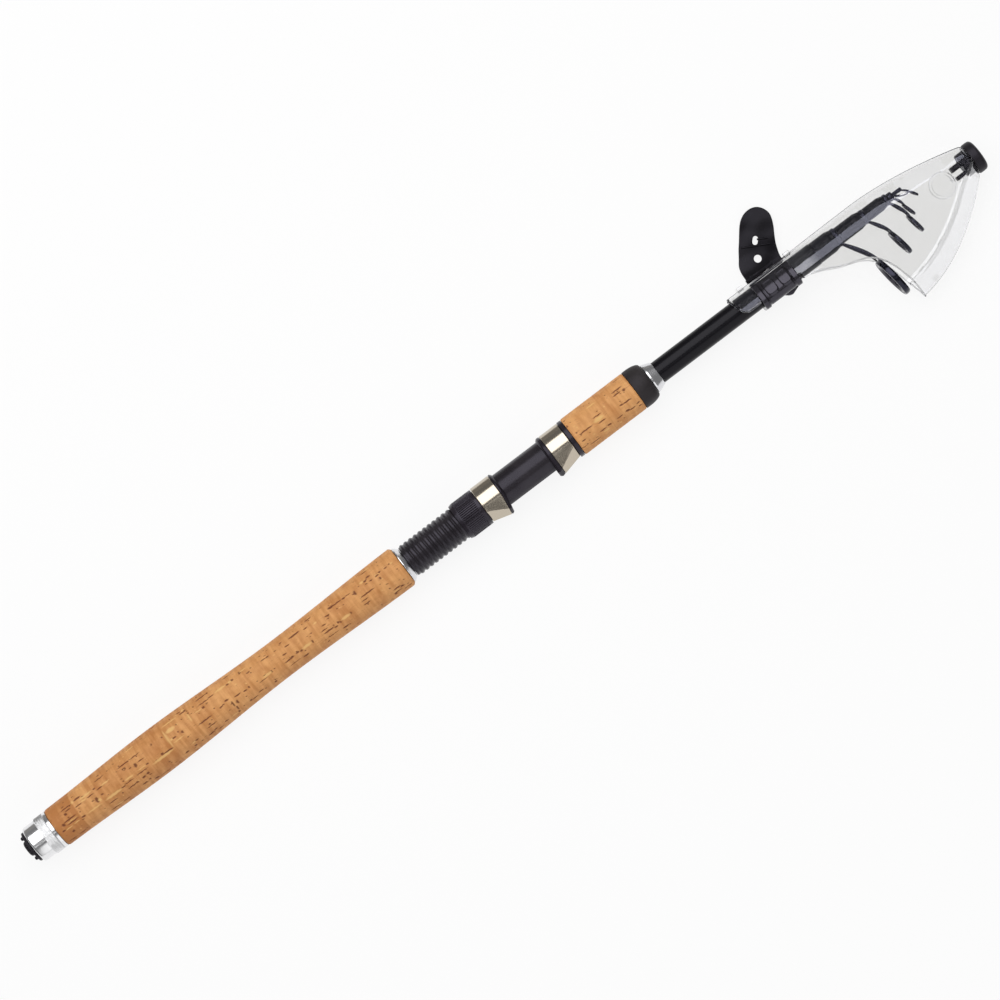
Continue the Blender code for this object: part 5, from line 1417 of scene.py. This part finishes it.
def strap_path():
    """The U that the strap follows, as (y, z, outward y, outward z) rows, seen along the rod.

    It hugs the cover's slope and shoulder on the side that faces the camera, goes round under the
    blank, and stands straight on the far side, where the tongue begins.
    """
    lean, wide = math.radians(32.0), 9.1
    corner, bottom, half = 3.4, TAIL_LOW - 3.4, 11.2
    shoulder = np.linspace(lean, 0.0, 16)[:, None]
    slope = np.linspace(6.4, TAIL_LOW + wide * math.sin(lean), 12)[:, None]
    low = np.linspace(0.0, math.pi / 2, 16)[:, None]
    flat = np.linspace(half - corner, -(half - corner), 14)[:, None]
    up = np.linspace(bottom + corner, 7.5, 16)[:, None]
    one, zero = np.ones_like, np.zeros_like
    fall = half - wide + wide * math.cos(lean) - (slope - slope[-1]) * math.tan(lean)
    sin, cos = np.sin(low), np.cos(low)
    stretches = [
        (slope, fall, math.sin(lean) * one(slope), math.cos(lean) * one(slope)),
        (TAIL_LOW + wide * np.sin(shoulder), half - wide + wide * np.cos(shoulder),
         np.sin(shoulder), np.cos(shoulder)),
        (bottom + corner - corner * sin, half - corner + corner * cos, -sin, cos),
        (bottom * one(flat), flat, -one(flat), zero(flat)),
        (bottom + corner - corner * cos, -(half - corner) - corner * sin, -cos, -sin),
        (up, -half * one(up), zero(up), -one(up)),
    ]
    rows = np.concatenate([np.concatenate(stretch, axis=1) for stretch in stretches])
    apart = np.linalg.norm(np.diff(rows[:, :2], axis=0), axis=1)
    return rows[np.concatenate([[True], apart > 1e-6])]


def strap_height(x, y, facing):
    """The strap's thickness: its wall, a rim at each end, grooves beside them and two soft pads."""
    height = 1.7 + 0.0 * x * y
    for edge, side in ((STRAP_START, 1.0), (STRAP_END, -1.0)):
        from_edge = (x - edge) * side
        rim = eased(0.0, 0.5, from_edge) * (1 - eased(3.2, 3.9, from_edge))
        groove = np.exp(-(((from_edge - 4.3) / 0.45) ** 2))
        height = height + (0.65 * rim - 0.35 * groove) * eased(7.6, 5.5, y)
    for middle in (558.0, 568.2):
        far = ((x - middle) / 3.9) ** 4 + ((y - 0.3) / 4.7) ** 4
        height = height + facing * (0.85 * (1 - eased(0.45, 1.0, far)) - 0.12 * (1 - eased(0.0, 0.5, far)))
    return height


def strap_band():
    """The band as a grid: round the U in one direction, over it and back inside it in the other."""
    path = strap_path()
    x = np.linspace(STRAP_START, STRAP_END, 120)[None, :]
    y, z, out_y, out_z = (path[:, k:k + 1] for k in range(4))
    height = strap_height(x, y, (z > 0) * (out_z > 0.3) * 1.0)
    outside = np.stack([np.broadcast_to(x, height.shape), y + out_y * height, z + out_z * height], axis=-1)
    inside = np.stack([np.broadcast_to(x[:, ::-1], height.shape), y + 0 * height, z + 0 * height], axis=-1)
    return skin(capped(np.concatenate([outside, inside[:, ::8], inside[:, -1:]], axis=1)) * MM)


def prism(outline, half, edge=0.4):
    """A closed outline of (x, y) corners between two heights, with its ends drawn in by edge."""
    line = softened(outline, 0.7, 5)
    middle = line.mean(axis=0)
    rows = [np.column_stack([middle + (line - middle) * share, np.full(len(line), z)])
            for z, share in ((-half, 0.9), (edge - half, 1.0), (half - edge, 1.0), (half, 0.9))]
    return skin(capped(np.array(rows)) * MM)


hook = [(560.8, -7.4), (565.3, -10.9), (567.3, -11.5), (569.2, -10.8), (573.4, -9.4), (573.4, -7.4)]
shells = [strap_band(), prism(hook, 3.4)]
piece("strap_wrap", shells, STRAP_RUBBER, "cover")


FOLD_Y, FOLD_Z = 9.3, -11.55  # the tongue's root


def tongue_outlines():
    """The tongue's edge and its two holes as lines of (x, y) from the fold, in millimetres."""
    marks = np.array([
        (905.4, -15.5), (905.6, -21), (906, -28), (908, -35), (913, -42), (918, -49), (923, -55),
        (928, -61.3), (933, -67.3), (938, -71.8), (944, -74.7), (950, -75.5), (956, -74.2),
        (960.5, -71), (963.7, -66), (965, -60), (963.7, -54), (960.5, -47), (956, -39.5),
        (952, -32), (949, -24), (948, -20), (947.5, -15.5),
    ])
    along = (marks[:, 0] + START) * UNIT + 1.0 - STRAP_START
    lines = [through(np.stack([along, 0.2 - marks[:, 1] * UNIT - FOLD_Y], axis=1), 160)]
    turn = np.linspace(0.0, math.tau, 40, endpoint=False)[:, None]
    for x, y, radius, waist in ((15.5, 9.2, 2.4, 0.0), (20.9, 18.9, 2.2, 0.55)):
        reach = radius + waist * np.cos(2 * (turn - math.radians(45.0)))
        lines.append(np.concatenate([x + reach * np.cos(turn), y + reach * np.sin(turn)], axis=1))
    return lines


def make_tongue():
    """The tongue's outline and holes as a filled curve with a small bevel, made into a mesh."""
    edge = 0.45
    curve = bpy.data.curves.new("tongue outline", "CURVE")
    curve.dimensions = "2D"
    curve.fill_mode = "BOTH"
    curve.extrude = (1.5 - edge) * MM
    curve.bevel_depth = edge * MM
    curve.bevel_resolution = 3
    curve.offset = -edge * MM
    for line in tongue_outlines():
        spline = curve.splines.new("POLY")
        spline.use_cyclic_u = True
        spline.points.add(len(line) - 1)
        flat = np.column_stack([line * MM, np.zeros(len(line)), np.ones(len(line))])
        spline.points.foreach_set("co", flat.astype(np.float32).ravel())
    source = linked("tongue outline", curve)
    bpy.context.view_layer.update()
    mesh = bpy.data.meshes.new_from_object(source.evaluated_get(bpy.context.evaluated_depsgraph_get()))
    bpy.data.objects.remove(source, do_unlink=True)
    mesh.transform(Matrix.Translation(Vector((STRAP_START, FOLD_Y, FOLD_Z)) * MM))
    mesh.shade_smooth()
    mesh.set_sharp_from_angle(angle=math.radians(35.0))
    made = linked("strap_tongue_fine", mesh)
    finished(made, TONGUE_RUBBER, "tongue", ("strap_tongue",))


def tongue_root():
    """A bar that fills the bend between the band and the tongue, and two low ribs on the tongue."""
    t = np.linspace(0.0, 1.0, 8)[:, None]
    top = np.concatenate([12.2 - 4.0 * t, FOLD_Z + 1.65 - 0.25 * t + 0.8 * t * (1 - t)], axis=1)
    section = softened(np.concatenate([top, [(8.2, FOLD_Z - 1.0), (12.2, FOLD_Z - 1.0)]]), 0.15, 3)
    rows = [np.column_stack([np.full(len(section), x), section]) for x in (550.0, 550.2, 574.4, 574.6)]
    shells = [skin(capped(np.array(rows)) * MM)]
    for first, last in (((921, -49), (947, -35)), ((939, -46.5), (949, -41))):
        line = np.linspace(first, last, 12)
        along, aside = (line[:, 0] + START) * UNIT + 1.0, 0.2 - line[:, 1] * UNIT
        shells.append(carried(np.column_stack([along, aside, np.full(12, FOLD_Z + 1.42)]), 0.6, 0.5))
    return shells


make_tongue()
piece("tongue_root", tongue_root(), TONGUE_RUBBER, "tongue", ())
